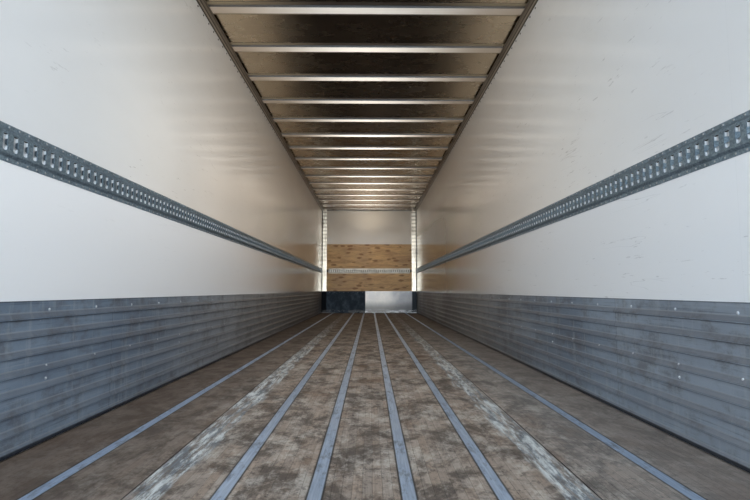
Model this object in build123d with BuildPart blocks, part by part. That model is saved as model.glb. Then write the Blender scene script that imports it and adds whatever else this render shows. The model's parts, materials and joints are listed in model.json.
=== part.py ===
from build123d import *
import os

# Van body of a 53 ft semi-trailer: the load-carrying box with floor, walls, roof, nose, rear frame and swing doors.
# Millimetres. The origin is the kingpin's axis on the coupler plate's lower face, +Y towards the nose, +X to the
# right of someone who looks forward, +Z up. Right-hand pieces are modelled and the left-hand ones are mirrored.
# The doors are modelled shut and then swung round their pins to lie along the sides.

# Driving sizes of the box
body_length = 16154
inner_width = 2565
inner_height = 2770
kingpin_setback = 914
wall_thickness = 8

# Driving sizes of the floor and what carries it
floor_thickness = 35
strip_width = 45
strip_cap = 5
strip_stem = 8
strip_places = (139, 417, 973)
open_joint_place = 695
open_joint = 1.5
floor_side_gap = 3
floor_corner_cut = 15
crossmember_height = 102
crossmember_flange = 57
crossmember_gauge = 6
crossmember_pitch = 305
coupler_plate = 8
coupler_beam_height = 46
coupler_beam_width = 60
coupler_beam_gauge = 6
coupler_beam_places = (770, 500, 220, -220, -470, -700)
coupler_half_width = 660
coupler_rear = -760
ramp_rise = 38
ramp_gap = 8

# Driving sizes of the rails and posts
rail_web = 6.5
rail_rib = 3
rail_rib_width = 26
rib_slope = 60
rail_toe = 6
rail_toe_reach = 36
bottom_rail_above_floor = 115
top_rail_drop = 120
top_rail_flange = 68
top_rail_lip = 29
top_rail_gauge = 6
bow_depth = 18
bow_cap = 84
bow_foot = 40
bow_gauge = 2
bow_draft = 4
bow_pitch = 609.6
first_bow_back = 331
roof_gauge = 1.2
front_panel_back = 8
corner_radius = 60
corner_side_reach = 114
corner_front_reach = 130
corner_web = 8
panel_overlap = 46
trim_gauge = 3
trim_side_reach = 118
trim_front_reach = 128

# Driving sizes of the linings
lining_thickness = 12
lining_height = 1855
kick_plate_height = 585
kick_plate_gauge = 3
liner_height = 562
liner_planks = 8
liner_back = 5
liner_ridge = 14
liner_nose = 5
liner_slope = 18
liner_floor_gap = 6
rail_height = 136
rail_depth = 12
rail_gauge = 2.7
rail_foot = 17
rail_draft = 11
rail_above_floor = 1130
slot_height = 61
slot_width = 23
slot_pitch = 50.8
front_rail_end_gap = 54.5

# Driving sizes of the rear frame and doors
frame_depth = 100
post_width = 55
post_gauge = 6
opening_height = 2710
sill_drop = 110
threshold = 5
door_thickness = 25
door_recess = 4
door_stile = 60
door_edge_gap = 6
door_post_gap = 5
door_meeting_gap = 6
pin_out = 2
pin_back = 50
pin_radius = 8
pin_clearance = 0.2
rod_sides = 10
hinge_sides = 8
knuckle_radius = 17
strap_gauge = 8
strap_height = 80
strap_reach = 200
strap_bend = 80
ear_height = 20
ear_gap = 2
ear_width = 36
pin_overhang = 5
hinge_count = 5
hinge_end = 260
swing_angle = 270
rod_radius = 13.5
rod_stand = 22
rod_insets = (820, 340)
rod_overrun = 48
rod_clearance = 0.3
cam_width = 40
cam_height = 26
cam_reach = 15
cam_bevel = 6
guide_width = 64
guide_height = 46
guide_stand = 38
guide_places = (0.06, 0.32, 0.66, 0.94)
handle_length = 290
handle_height = 28
handle_gauge = 8
handle_levels = (1160, 1060)
latch_width = 40
latch_height = 60
latch_gauge = 10
keeper_gap = 9
keeper_gauge = 6
keeper_stand = 45
keeper_height = 30
bumper_width = 100
bumper_height = 130
bumper_depth = 70
bumper_inset = 60
bumper_bevel = 9

# Driving sizes of what hangs under the floor
kingpin_neck_radius = 25.4
kingpin_collar_radius = 36.5
kingpin_foot_radius = 35.7
kingpin_collar = 35
kingpin_neck = 35
kingpin_foot = 14
kingpin_base_half = 100
kingpin_base = 12
kingpin_clearance = 0.25
bogie_rail_place = 510
bogie_rail_height = 114
bogie_rail_gauge = 9
bogie_rail_flange = 70
bogie_rail_length = 5600
lock_hole_radius = 22
lock_hole_sides = 8
lock_hole_pitch = 152.4
lock_hole_count = 14
lock_pin_steps = (4, 12)
guard_drop = 634
guard_bar = 100
guard_gauge = 6
guard_end_gap = 60
guard_post_width = 76
guard_post_place = 480
guard_foot = 8
guard_foot_width = 160
lock_hole_start = 900
gear_place_y = -2743
gear_place_x = 760
gear_plate_length = 420
gear_plate_height = 230
gear_plate_gauge = 10
gear_flange = 80
gear_bolt_radius = 8.75
gear_bolt_span = 180
gear_bolt_rise = 120

# Driving sizes of lamps and connections
lamp_sides = 12
coupling_sides = 8
lamp_radius = 32
lamp_depth = 14
tail_lamp_radius = 54
tail_lamp_depth = 12
tail_lamp_insets = (430, 290)
tail_lamp_level = -25
identity_lamp_pitch = 200
clearance_lamp_inset = 120
side_lamp_level = 30
side_lamp_inset = 200
box_width = 420
box_height = 130
box_depth = 5
box_level = 300
socket_radius = 33
socket_depth = 60
coupling_place = 140
coupling_stem_radius = 16
coupling_stem = 30
coupling_head_radius = 34
coupling_head = 24

# Levels and planes that follow
nose_y = kingpin_setback
tail_y = nose_y - body_length
frame_front = tail_y + frame_depth
floor_under = coupler_plate + coupler_beam_height
floor_top = floor_under + floor_thickness
floor_mid = (floor_under + floor_top) / 2
crossmember_under = floor_under - crossmember_height
ceiling = floor_top + inner_height
bow_under = ceiling + top_rail_gauge
roof_under = bow_under + bow_depth
wall_in = inner_width / 2
wall_out = wall_in + wall_thickness
rail_face = wall_out + rail_web
body_side = rail_face + rail_rib
floor_half = wall_in - floor_side_gap
front_out = nose_y - front_panel_back
front_in = front_out - wall_thickness
lining_in = front_in - lining_thickness
kick_in = lining_in - kick_plate_gauge
rail_front = nose_y - corner_side_reach
side_panel_front = rail_front + panel_overlap
trim_back = front_in - trim_side_reach
front_panel_half = rail_face - corner_radius - corner_web - panel_overlap / 2
front_piece_half = rail_face - corner_front_reach
lining_half = wall_in - trim_front_reach
front_rail_half = lining_half - front_rail_end_gap
post_inner = body_side - post_width
opening_top = floor_top + opening_height
sill_top = floor_top - threshold
sill_under = -sill_drop
door_bottom = floor_top + door_edge_gap
door_top = opening_top - door_edge_gap
door_outer_edge = post_inner - door_post_gap
door_width = door_outer_edge - door_meeting_gap
rod_places = [door_outer_edge - inset for inset in rod_insets]
door_height = door_top - door_bottom
door_mid = door_meeting_gap + door_width / 2
stile_inner = door_outer_edge - door_stile
pin_x = body_side + pin_out
pin_y = tail_y - pin_back
pin_axis = Axis((pin_x, pin_y, 0), (0, 0, 1))
hinge_levels = [
    door_bottom + hinge_end + n * (door_height - 2 * hinge_end) / (hinge_count - 1) for n in range(hinge_count)
]
rod_y = tail_y - rod_stand

os.makedirs("parts", exist_ok=True)


def across(y):
    """A plane that faces the tail at the place y, with its x to the right and its y up."""
    return Plane.XZ.offset(-y)


def write(piece, label):
    """Labels a finished piece and writes it to its own file."""
    piece.label = label
    export_step(piece, f"parts/{label}.step")


def write_pair(piece, label):
    """Writes a right-hand piece and its mirror image."""
    write(piece, f"{label}_right")
    write(mirror(piece, about=Plane.YZ), f"{label}_left")


def write_door_pair(piece, label):
    """Swings a piece of the shut right door open round its pin, and writes it with its mirror image."""
    write_pair(piece.rotate(pin_axis, swing_angle), label)


def hat_outline(height, foot, depth, gauge, draft):
    """Outline of a hat section, with its feet on the line y = 0 and its cap at the depth."""
    half = height / 2
    cap = half - foot - draft
    side = [
        (half, 0),
        (half, gauge),
        (half - foot, gauge),
        (cap, depth),
    ]
    inner = [
        (cap - gauge / 2, depth - gauge),
        (half - foot - gauge / 2, 0),
    ]
    outer_path = side + [(-x, y) for x, y in reversed(side)]
    inner_path = [(-x, y) for x, y in reversed(inner)] + inner
    return outer_path + inner_path


def strip_sections(mode=Mode.ADD):
    """Sections of the T-bars between the floor boards: a cap flush with the floor, a stem to the crossmembers."""
    places = [side * place for side in (-1, 1) for place in strip_places]
    with Locations(*[(x, floor_top - strip_cap / 2) for x in places]):
        Rectangle(strip_width, strip_cap, mode=mode)
    with Locations(*[(x, floor_mid) for x in places]):
        Rectangle(strip_stem, floor_thickness, mode=mode)


def peg(radius, sides):
    """Section of a small round bar, drawn with few flat sides inside its true circle."""
    RegularPolygon(radius, sides)


def eye(radius, sides):
    """Cuts a small round hole, drawn with few flat sides outside its true circle."""
    RegularPolygon(radius, sides, major_radius=False, mode=Mode.SUBTRACT)


def upright_tube(width, depth, gauge):
    """Section of a rectangular tube, centred on its location."""
    Rectangle(width, depth)
    Rectangle(width - 2 * gauge, depth - 2 * gauge, mode=Mode.SUBTRACT)


# Floor boards, one laminated board between each two joints
with BuildPart() as floor_boards:
    with BuildSketch(across(front_in)):
        with Locations((0, floor_mid)):
            Rectangle(2 * floor_half, floor_thickness)
        strip_sections(Mode.SUBTRACT)
        with Locations((-open_joint_place, floor_mid), (open_joint_place, floor_mid)):
            Rectangle(open_joint, floor_thickness, mode=Mode.SUBTRACT)
    extrude(amount=front_in - frame_front)
    nose_edges = floor_boards.edges().filter_by(Axis.Z).group_by(Axis.Y)[-1].sort_by(Axis.X)
    chamfer([nose_edges[0], nose_edges[-1]], floor_corner_cut)
write(floor_boards.part, "floor_boards")

# Floor strips, steel T-bars that hold the boards down
with BuildPart() as floor_strips:
    with BuildSketch(across(front_in)):
        strip_sections()
    extrude(amount=front_in - frame_front)
write(floor_strips.part, "floor_strips")

# Crossmembers, I-beams that hang between the bottom rails
crossmember_run = coupler_rear - crossmember_flange - frame_front
crossmember_count = int(crossmember_run // crossmember_pitch)
with BuildPart() as crossmembers:
    with BuildSketch(Plane.YZ):
        places = [coupler_rear - crossmember_flange - n * crossmember_pitch for n in range(crossmember_count + 1)]
        with Locations(*[(y, floor_under - crossmember_height / 2) for y in places]):
            Rectangle(crossmember_flange, crossmember_height)
        notch = (crossmember_flange - crossmember_gauge) / 2
        offsets = [side * (crossmember_flange - notch) / 2 for side in (-1, 1)]
        with Locations(*[(y + dy, floor_under - crossmember_height / 2) for y in places for dy in offsets]):
            Rectangle(notch, crossmember_height - 2 * crossmember_gauge, mode=Mode.SUBTRACT)
    extrude(amount=wall_out, both=True)
write(crossmembers.part, "crossmembers")

# Bottom rails, extrusions with two rub ribs outside and a toe that carries the crossmembers
bottom_rail_low = crossmember_under - rail_toe
bottom_rail_high = floor_top + bottom_rail_above_floor
with BuildPart() as bottom_rail:
    with BuildSketch(across(rail_front)):
        with Locations(((wall_out + rail_face) / 2, (bottom_rail_low + bottom_rail_high) / 2)):
            Rectangle(rail_face - wall_out, bottom_rail_high - bottom_rail_low)
        with Locations((wall_out, bottom_rail_low)):
            Rectangle(rail_toe_reach, rail_toe, align=(Align.MAX, Align.MIN))
        for level in (bottom_rail_low + rail_rib_width / 2, bottom_rail_high - rail_rib_width):
            with Locations((rail_face, level)):
                Trapezoid(rail_rib_width, rail_rib, rib_slope, rotation=-90, align=(Align.CENTER, Align.MIN))
    extrude(amount=rail_front - frame_front)
write_pair(bottom_rail.part, "bottom_rail")

# Side walls, flat composite plates from the floor's level to the ceiling
with BuildPart() as side_wall:
    with BuildSketch(across(side_panel_front)):
        with Locations(((wall_in + wall_out) / 2, (floor_under + ceiling) / 2)):
            Rectangle(wall_thickness, ceiling - floor_under)
    extrude(amount=side_panel_front - frame_front)
write_pair(side_wall.part, "side_wall")

# Top rails, C-shaped extrusions whose lower flange carries the bows
top_rail_low = roof_under - top_rail_drop
with BuildPart() as top_rail:
    with BuildSketch(across(rail_front)):
        with Locations((wall_out, top_rail_low)):
            Rectangle(rail_face - wall_out, roof_under - top_rail_low, align=(Align.MIN, Align.MIN))
        with Locations((wall_out, ceiling)):
            Rectangle(top_rail_flange + wall_thickness, top_rail_gauge, align=(Align.MAX, Align.MIN))
        with Locations((wall_out, roof_under)):
            Rectangle(top_rail_lip, top_rail_gauge, align=(Align.MAX, Align.MAX))
        with Locations((rail_face, top_rail_low + rail_rib_width)):
            Trapezoid(rail_rib_width, rail_rib, rib_slope, rotation=-90, align=(Align.CENTER, Align.MIN))
    extrude(amount=rail_front - frame_front)
write_pair(top_rail.part, "top_rail")

# Roof bows, hat sections that rest on the top rails' flanges
bow_half = wall_out - top_rail_lip
bow_outline = hat_outline(bow_cap + 2 * (bow_foot + bow_draft), bow_foot, bow_depth, bow_gauge, bow_draft)
bow_run = front_in - first_bow_back - frame_front
bow_count = int(bow_run // bow_pitch) + 1
with BuildPart() as roof_bows:
    with BuildSketch(Plane(origin=(0, 0, roof_under), x_dir=(0, 1, 0), z_dir=(-1, 0, 0))):
        with Locations(*[(front_in - first_bow_back - n * bow_pitch, 0) for n in range(bow_count)]):
            Polygon(*bow_outline, align=None)
    extrude(amount=bow_half, both=True)
write(roof_bows.part, "roof_bows")

# Roof sheet, one skin over bows, rails, headers and posts
with BuildPart() as roof_sheet:
    with BuildSketch(Plane.XY.offset(roof_under)):
        with Locations((0, (nose_y + tail_y) / 2)):
            Rectangle(2 * rail_face, body_length)
    extrude(amount=roof_gauge)
write(roof_sheet.part, "roof_sheet")

# Front wall, one flat plate between the corner posts
with BuildPart() as front_wall:
    with BuildSketch(across(front_out)):
        with Locations((0, (floor_under + ceiling) / 2)):
            Rectangle(2 * front_panel_half, ceiling - floor_under)
    extrude(amount=wall_thickness)
write(front_wall.part, "front_wall")

# Front header, the same C shape as the top rails
with BuildPart() as front_header:
    with BuildSketch(Plane.YZ):
        with Locations((front_out, top_rail_low)):
            Rectangle(front_panel_back, roof_under - top_rail_low, align=(Align.MIN, Align.MIN))
        with Locations((front_out, ceiling)):
            Rectangle(top_rail_flange + wall_thickness, top_rail_gauge, align=(Align.MAX, Align.MIN))
        with Locations((front_out, roof_under)):
            Rectangle(top_rail_lip, top_rail_gauge, align=(Align.MAX, Align.MAX))
    extrude(amount=front_piece_half, both=True)
write(front_header.part, "front_header")

# Front bottom rail, a flat cover over the lower edge of the front wall
with BuildPart() as front_bottom_rail:
    with BuildSketch(across(nose_y)):
        with Locations((0, (coupler_plate + bottom_rail_high) / 2)):
            Rectangle(2 * front_piece_half, bottom_rail_high - coupler_plate)
    extrude(amount=front_panel_back)
write(front_bottom_rail.part, "front_bottom_rail")

# Front corner posts, rounded outside, with bright trims inside that hold the edges of both plates
round_start = nose_y - corner_radius
with BuildPart() as front_corner:
    with BuildSketch(Plane.XY.offset(bottom_rail_low)):
        with BuildLine():
            Polyline((rail_face, round_start), (rail_face, rail_front), (wall_out, rail_front), (wall_out, round_start))
            CenterArc((rail_face - corner_radius, round_start), wall_out - rail_face + corner_radius, 0, 90)
            Line(
                (rail_face - corner_radius, nose_y - rail_face + wall_out),
                (rail_face - corner_radius, front_out),
            )
            Polyline(
                (rail_face - corner_radius, front_out),
                (front_piece_half, front_out),
                (front_piece_half, nose_y),
                (rail_face - corner_radius, nose_y),
            )
            CenterArc((rail_face - corner_radius, round_start), corner_radius, 90, -90)
        make_face()
        with Locations((wall_in, side_panel_front)):
            Rectangle(wall_thickness, corner_web, align=(Align.MIN, Align.MIN))
        with Locations((front_panel_half, front_in)):
            Rectangle(corner_web, wall_thickness, align=(Align.MIN, Align.MIN))
    extrude(amount=roof_under - bottom_rail_low)
    with BuildSketch(Plane.XY.offset(floor_top)):
        with Locations((wall_in, trim_back)):
            Rectangle(trim_gauge, front_in - trim_back, align=(Align.MAX, Align.MIN))
        with Locations((lining_half, front_in)):
            Rectangle(wall_in - lining_half, trim_gauge, align=(Align.MIN, Align.MAX))
    extrude(amount=ceiling - floor_top)
    with BuildSketch(Plane.XY.offset(ceiling)):
        with Locations((wall_out, front_out)):
            Rectangle(wall_out - front_piece_half, front_out - rail_front, align=(Align.MAX, Align.MAX))
    extrude(amount=roof_under - ceiling)
write_pair(front_corner.part, "front_corner")

# Front lining, plywood up to a man's height
with BuildPart() as front_lining:
    with BuildSketch(across(front_in)):
        with Locations((0, floor_top + lining_height / 2)):
            Rectangle(2 * lining_half, lining_height)
    extrude(amount=lining_thickness)
write(front_lining.part, "front_lining")

# Kick plate, a folded steel sheet round the foot of the front wall
kick_half = wall_in - trim_gauge
with BuildPart() as kick_plate:
    with BuildSketch(Plane.XY.offset(floor_top)):
        with Locations((0, lining_in)):
            Rectangle(2 * kick_half, lining_in - trim_back, align=(Align.CENTER, Align.MAX))
        with Locations((0, kick_in)):
            Rectangle(
                2 * (kick_half - kick_plate_gauge),
                kick_in - trim_back,
                align=(Align.CENTER, Align.MAX),
                mode=Mode.SUBTRACT,
            )
    extrude(amount=kick_plate_height)
write(kick_plate.part, "kick_plate")

# Scuff liners, ribbed aluminium planks: each slopes out to a nose at its lower edge
plank = (liner_height - liner_floor_gap) / liner_planks
liner_low = floor_top + liner_floor_gap
liner_points = [(wall_in, liner_low)]
for n in range(liner_planks):
    foot = liner_low + n * plank
    liner_points += [
        (wall_in - liner_ridge, foot),
        (wall_in - liner_ridge, foot + liner_nose),
        (wall_in - liner_back, foot + liner_nose + liner_slope),
        (wall_in - liner_back, foot + plank),
    ]
liner_points.append((wall_in, liner_low + liner_planks * plank))
with BuildPart() as scuff_liner:
    with BuildSketch(across(trim_back)):
        Polygon(*liner_points, align=None)
    extrude(amount=trim_back - frame_front)
write_pair(scuff_liner.part, "scuff_liner")

# Lashing rails, hat sections with fitting slots: two along the sides and a short one across the nose
rail_outline = hat_outline(rail_height, rail_foot, rail_depth, rail_gauge, rail_draft)
rail_level = floor_top + rail_above_floor
with BuildPart() as lashing_rail:
    with BuildSketch(Plane(origin=(wall_in, trim_back, rail_level), x_dir=(0, 0, 1), z_dir=(0, -1, 0))):
        Polygon(*rail_outline, align=None)
    extrude(amount=trim_back - frame_front)
write_pair(lashing_rail.part, "lashing_rail")

slot_count = int(2 * front_rail_half // slot_pitch)
with BuildPart() as front_lashing_rail:
    with BuildSketch(Plane(origin=(0, lining_in, rail_level), x_dir=(0, 0, 1), z_dir=(1, 0, 0))):
        Polygon(*rail_outline, align=None)
    extrude(amount=front_rail_half, both=True)
    with BuildSketch(across(lining_in)):
        with Locations((0, rail_level)):
            with GridLocations(slot_pitch, slot_pitch, slot_count, 1):
                Rectangle(slot_width, slot_height)
    extrude(amount=rail_depth, mode=Mode.SUBTRACT)
write(front_lashing_rail.part, "lashing_rail_front")

# Rear posts, steel tubes beside the doorway, with two ears and a pin at each hinge
ear_low = strap_height / 2 + ear_gap
pin_half = ear_low + ear_height + pin_overhang
with BuildPart() as rear_post:
    with BuildSketch(Plane.XY.offset(sill_top)):
        with Locations((body_side - post_width / 2, tail_y + frame_depth / 2)):
            upright_tube(post_width, frame_depth, post_gauge)
    extrude(amount=roof_under - sill_top)
    for level in hinge_levels:
        for low in (level + ear_low, level - ear_low - ear_height):
            with BuildSketch(Plane.XY.offset(low)):
                with BuildLine():
                    Polyline(
                        (body_side - ear_width, tail_y),
                        (body_side, tail_y),
                        (pin_x + knuckle_radius, pin_y),
                        (pin_x - knuckle_radius, pin_y),
                        close=True,
                    )
                make_face()
                with Locations((pin_x, pin_y)):
                    peg(knuckle_radius, hinge_sides)
            extrude(amount=ear_height)
        with BuildSketch(Plane.XY.offset(level - pin_half)):
            with Locations((pin_x, pin_y)):
                peg(pin_radius, hinge_sides)
        extrude(amount=2 * pin_half)
write_pair(rear_post.part, "rear_post")

# Rear header, a steel tube over the doorway
with BuildPart() as rear_header:
    with BuildSketch(Plane.YZ):
        with Locations((tail_y + frame_depth / 2, (opening_top + roof_under) / 2)):
            upright_tube(frame_depth, roof_under - opening_top, post_gauge)
    extrude(amount=post_inner, both=True)
write(rear_header.part, "rear_header")

# Rear sill, a deep steel tube under the doorway
with BuildPart() as rear_sill:
    with BuildSketch(Plane.YZ):
        with Locations((tail_y + frame_depth / 2, (sill_under + sill_top) / 2)):
            upright_tube(frame_depth, sill_top - sill_under, post_gauge)
    extrude(amount=body_side, both=True)
write(rear_sill.part, "rear_sill")

# Threshold plate, flush with the floor
with BuildPart() as threshold_plate:
    with BuildSketch(Plane.XY.offset(sill_top)):
        with Locations((0, tail_y + frame_depth / 2)):
            Rectangle(2 * post_inner, frame_depth)
    extrude(amount=threshold)
write(threshold_plate.part, "threshold_plate")

# Rear guard, a bar on two posts that hang from the sill on bolted feet
guard_mid_y = tail_y + frame_depth / 2
guard_half = body_side - guard_end_gap
with BuildPart() as rear_guard:
    with BuildSketch(Plane.YZ):
        with Locations((guard_mid_y, -guard_drop + guard_bar / 2)):
            upright_tube(guard_bar, guard_bar, guard_gauge)
    extrude(amount=guard_half, both=True)
    for side in (-1, 1):
        with BuildSketch(Plane.XY.offset(-guard_drop + guard_bar)):
            with Locations((side * guard_post_place, guard_mid_y)):
                upright_tube(guard_post_width, frame_depth, guard_gauge)
        extrude(amount=guard_drop - guard_bar + sill_under - guard_foot)
        with BuildSketch(Plane.XY.offset(sill_under - guard_foot)):
            with Locations((side * guard_post_place, guard_mid_y)):
                Rectangle(guard_foot_width, frame_depth)
        extrude(amount=guard_foot)
write(rear_guard.part, "rear_guard")

# Dock bumpers, rubber blocks on the sill
with BuildPart() as dock_bumpers:
    with BuildSketch(across(tail_y)):
        place = body_side - bumper_inset - bumper_width / 2
        with Locations((-place, (sill_under + sill_top) / 2), (place, (sill_under + sill_top) / 2)):
            Rectangle(bumper_width, bumper_height)
    extrude(amount=bumper_depth)
    chamfer(dock_bumpers.faces().sort_by(Axis.Y)[:2].edges(), bumper_bevel)
write(dock_bumpers.part, "dock_bumpers")

# Door hinge straps, cranked plates from the door's face to the pins
with BuildPart() as hinge_straps:
    for level in hinge_levels:
        with BuildSketch(Plane.XY.offset(level - strap_height / 2)):
            with Locations((pin_x - strap_reach, tail_y)):
                Rectangle(strap_reach - strap_bend, strap_gauge, align=(Align.MIN, Align.MAX))
                Rectangle(stile_inner - pin_x + strap_reach, door_recess, align=(Align.MIN, Align.MIN))
            with BuildLine():
                Polyline(
                    (pin_x - strap_bend, tail_y),
                    (pin_x + strap_gauge / 2, pin_y + strap_gauge),
                    (pin_x - strap_gauge / 2, pin_y - strap_gauge),
                    (pin_x - strap_bend - strap_gauge, tail_y - strap_gauge),
                    (pin_x - strap_bend - strap_gauge, tail_y),
                    close=True,
                )
            make_face()
            with Locations((pin_x, pin_y)):
                peg(knuckle_radius, hinge_sides)
                eye(pin_radius + pin_clearance, hinge_sides)
        extrude(amount=strap_height)
write_door_pair(hinge_straps.part, "hinge_straps")

# Door panels, plates with a raised frame of stiles and rails round a recessed face
with BuildPart() as door_panel:
    with BuildSketch(across(tail_y + door_thickness)):
        with Locations((door_mid, (door_bottom + door_top) / 2)):
            Rectangle(door_width, door_height)
    extrude(amount=door_thickness)
    with BuildSketch(across(tail_y)):
        with Locations((door_mid, (door_bottom + door_top) / 2)):
            Rectangle(door_width - 2 * door_stile, door_height - 2 * door_stile)
    extrude(amount=-door_recess, mode=Mode.SUBTRACT)
write_door_pair(door_panel.part, "door_panel")

# Lock rods, two to a door, each with a cam at both ends and a handle
rod_low = door_bottom - rod_overrun
rod_high = door_top + rod_overrun
with BuildPart() as lock_rods:
    for rod_x, level in zip(rod_places, handle_levels):
        with BuildSketch(Plane.XY.offset(rod_low)):
            with Locations((rod_x, rod_y)):
                peg(rod_radius, rod_sides)
        extrude(amount=rod_high - rod_low)
        for low in (rod_low, rod_high - cam_height):
            with BuildSketch(Plane.XY.offset(low)) as cam_sketch:
                with Locations((rod_x, rod_y)):
                    Rectangle(cam_width, 2 * cam_reach)
                    chamfer(cam_sketch.vertices(), cam_bevel)
            extrude(amount=cam_height)
        with BuildSketch(across(rod_y + handle_gauge / 2)):
            with Locations((rod_x, level)):
                Rectangle(handle_length, handle_height, align=(Align.MIN, Align.CENTER))
            with Locations((rod_x + handle_length, level)):
                peg(handle_height / 2, rod_sides)
        extrude(amount=handle_gauge)
write_door_pair(lock_rods.part, "lock_rods")

# Lock rod guides on the door, and a latch that holds each handle
with BuildPart() as rod_guides:
    for rod_x, level in zip(rod_places, handle_levels):
        for share in guide_places:
            middle = door_bottom + share * door_height
            depth = door_recess if door_stile < middle - door_bottom < door_height - door_stile else 0
            with BuildSketch(Plane.XY.offset(middle - guide_height / 2)):
                with Locations((rod_x, tail_y + depth)):
                    Rectangle(guide_width, depth + guide_stand, align=(Align.CENTER, Align.MAX))
                with Locations((rod_x, rod_y)):
                    eye(rod_radius + rod_clearance, rod_sides)
            extrude(amount=guide_height)
        latch_x = rod_x + handle_length - latch_width
        with BuildSketch(Plane.XY.offset(level - latch_height / 2)):
            with Locations((latch_x, tail_y + door_recess)):
                Rectangle(
                    latch_width,
                    door_recess + rod_stand - handle_gauge / 2 - rod_clearance,
                    align=(Align.CENTER, Align.MAX),
                )
        extrude(amount=latch_height)
        with BuildSketch(Plane.XY.offset(level - latch_height / 2)):
            with Locations((latch_x, tail_y + door_recess)):
                Rectangle(latch_width, door_recess + guide_stand, align=(Align.CENTER, Align.MAX))
        extrude(amount=latch_gauge)
write_door_pair(rod_guides.part, "rod_guides")

# Lock keepers, cheeks on header and sill beside each cam
with BuildPart() as lock_keepers:
    cheek = cam_width / 2 + keeper_gap + keeper_gauge / 2
    levels = (rod_low + cam_height / 2, rod_high - cam_height / 2)
    spots = [
        (side * rod_x + way * cheek, level)
        for side in (-1, 1)
        for rod_x in rod_places
        for way in (-1, 1)
        for level in levels
    ]
    with BuildSketch(across(tail_y)):
        with Locations(*spots):
            Rectangle(keeper_gauge, keeper_height)
    extrude(amount=keeper_stand)
write(lock_keepers.part, "lock_keepers")

# Upper coupler, a flat plate that rides on the fifth wheel, turned up at the nose
ramp_end = front_out - ramp_gap
ramp_start = ramp_end - ramp_rise
with BuildPart() as upper_coupler:
    with BuildSketch(Plane.YZ):
        Polygon(
            (coupler_rear, 0),
            (ramp_start, 0),
            (ramp_end, ramp_rise),
            (ramp_end, ramp_rise + coupler_plate),
            (ramp_end - coupler_plate, ramp_rise + coupler_plate),
            (ramp_start, coupler_plate),
            (coupler_rear, coupler_plate),
            align=None,
        )
    extrude(amount=coupler_half_width, both=True)
    Cylinder(kingpin_collar_radius + kingpin_clearance, 4 * coupler_plate, mode=Mode.SUBTRACT)
write(upper_coupler.part, "upper_coupler")

# Coupler beams, shallow channels across the nose between plate and floor
with BuildPart() as coupler_beams:
    with BuildSketch(Plane.YZ.offset(-wall_out)):
        middle = coupler_plate + coupler_beam_height / 2
        with Locations(*[(y, middle) for y in coupler_beam_places]):
            Rectangle(coupler_beam_width, coupler_beam_height)
        with Locations(*[(y + coupler_beam_gauge, middle) for y in coupler_beam_places]):
            Rectangle(
                coupler_beam_width - coupler_beam_gauge,
                coupler_beam_height - 2 * coupler_beam_gauge,
                mode=Mode.SUBTRACT,
            )
    extrude(amount=2 * wall_out)
write(coupler_beams.part, "coupler_beams")

# Kingpin, with its square base on the plate, collar, neck and foot
neck_top = -kingpin_collar
foot_top = neck_top - kingpin_neck
foot_bottom = foot_top - kingpin_foot
foot_bevel = kingpin_foot / 3
with BuildPart() as kingpin:
    with BuildSketch(Plane.XZ):
        Polygon(
            (0, coupler_plate),
            (kingpin_collar_radius, coupler_plate),
            (kingpin_collar_radius, neck_top),
            (kingpin_neck_radius, neck_top),
            (kingpin_neck_radius, foot_top),
            (kingpin_foot_radius, foot_top),
            (kingpin_foot_radius, foot_bottom + foot_bevel),
            (kingpin_foot_radius - foot_bevel, foot_bottom),
            (0, foot_bottom),
            align=None,
        )
    revolve(axis=Axis.Z)
    with BuildSketch(Plane.XY.offset(coupler_plate)):
        Rectangle(2 * kingpin_base_half, 2 * kingpin_base_half)
    extrude(amount=kingpin_base)
write(kingpin.part, "kingpin")

# Bogie rails, Z sections under the tail with a row of holes for the bogie's locking pins
# The two holes that hold the pins are true circles, and the rest of the row has few sides
rail_under = crossmember_under - bogie_rail_height
first_lock_hole = frame_front + lock_hole_start
with BuildPart() as bogie_rails:
    with BuildSketch(across(frame_front + bogie_rail_length)):
        with Locations((bogie_rail_place, crossmember_under)):
            Rectangle(bogie_rail_gauge, bogie_rail_height, align=(Align.CENTER, Align.MAX))
        with Locations((bogie_rail_place - bogie_rail_gauge / 2, crossmember_under)):
            Rectangle(bogie_rail_flange, bogie_rail_gauge, align=(Align.MIN, Align.MAX))
        with Locations((bogie_rail_place + bogie_rail_gauge / 2, rail_under)):
            Rectangle(bogie_rail_flange, bogie_rail_gauge, align=(Align.MAX, Align.MIN))
    extrude(amount=bogie_rail_length)
    with BuildSketch(Plane.YZ.offset(bogie_rail_place)):
        for n in range(lock_hole_count):
            with Locations((first_lock_hole + n * lock_hole_pitch, (crossmember_under + rail_under) / 2)):
                if n in lock_pin_steps:
                    Circle(lock_hole_radius)
                else:
                    RegularPolygon(lock_hole_radius, lock_hole_sides, major_radius=False)
    extrude(amount=bogie_rail_gauge, both=True, mode=Mode.SUBTRACT)
    mirror(about=Plane.YZ)
write(bogie_rails.part, "bogie_rails")

# Landing gear brackets, drilled angle plates under the crossmembers
with BuildPart() as gear_brackets:
    with BuildSketch(across(gear_place_y + gear_plate_length / 2)):
        with Locations((gear_place_x, crossmember_under)):
            Rectangle(gear_plate_gauge, gear_plate_height, align=(Align.CENTER, Align.MAX))
        with Locations((gear_place_x + gear_plate_gauge / 2, crossmember_under)):
            Rectangle(gear_flange, gear_plate_gauge, align=(Align.MAX, Align.MAX))
    extrude(amount=gear_plate_length)
    with BuildSketch(Plane.YZ.offset(gear_place_x)):
        with Locations((gear_place_y, crossmember_under - gear_plate_height / 2)):
            with GridLocations(gear_bolt_span, gear_bolt_rise, 2, 2):
                Circle(gear_bolt_radius)
    extrude(amount=gear_plate_gauge, both=True, mode=Mode.SUBTRACT)
    mirror(about=Plane.YZ)
write(gear_brackets.part, "landing_gear_brackets")

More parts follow.
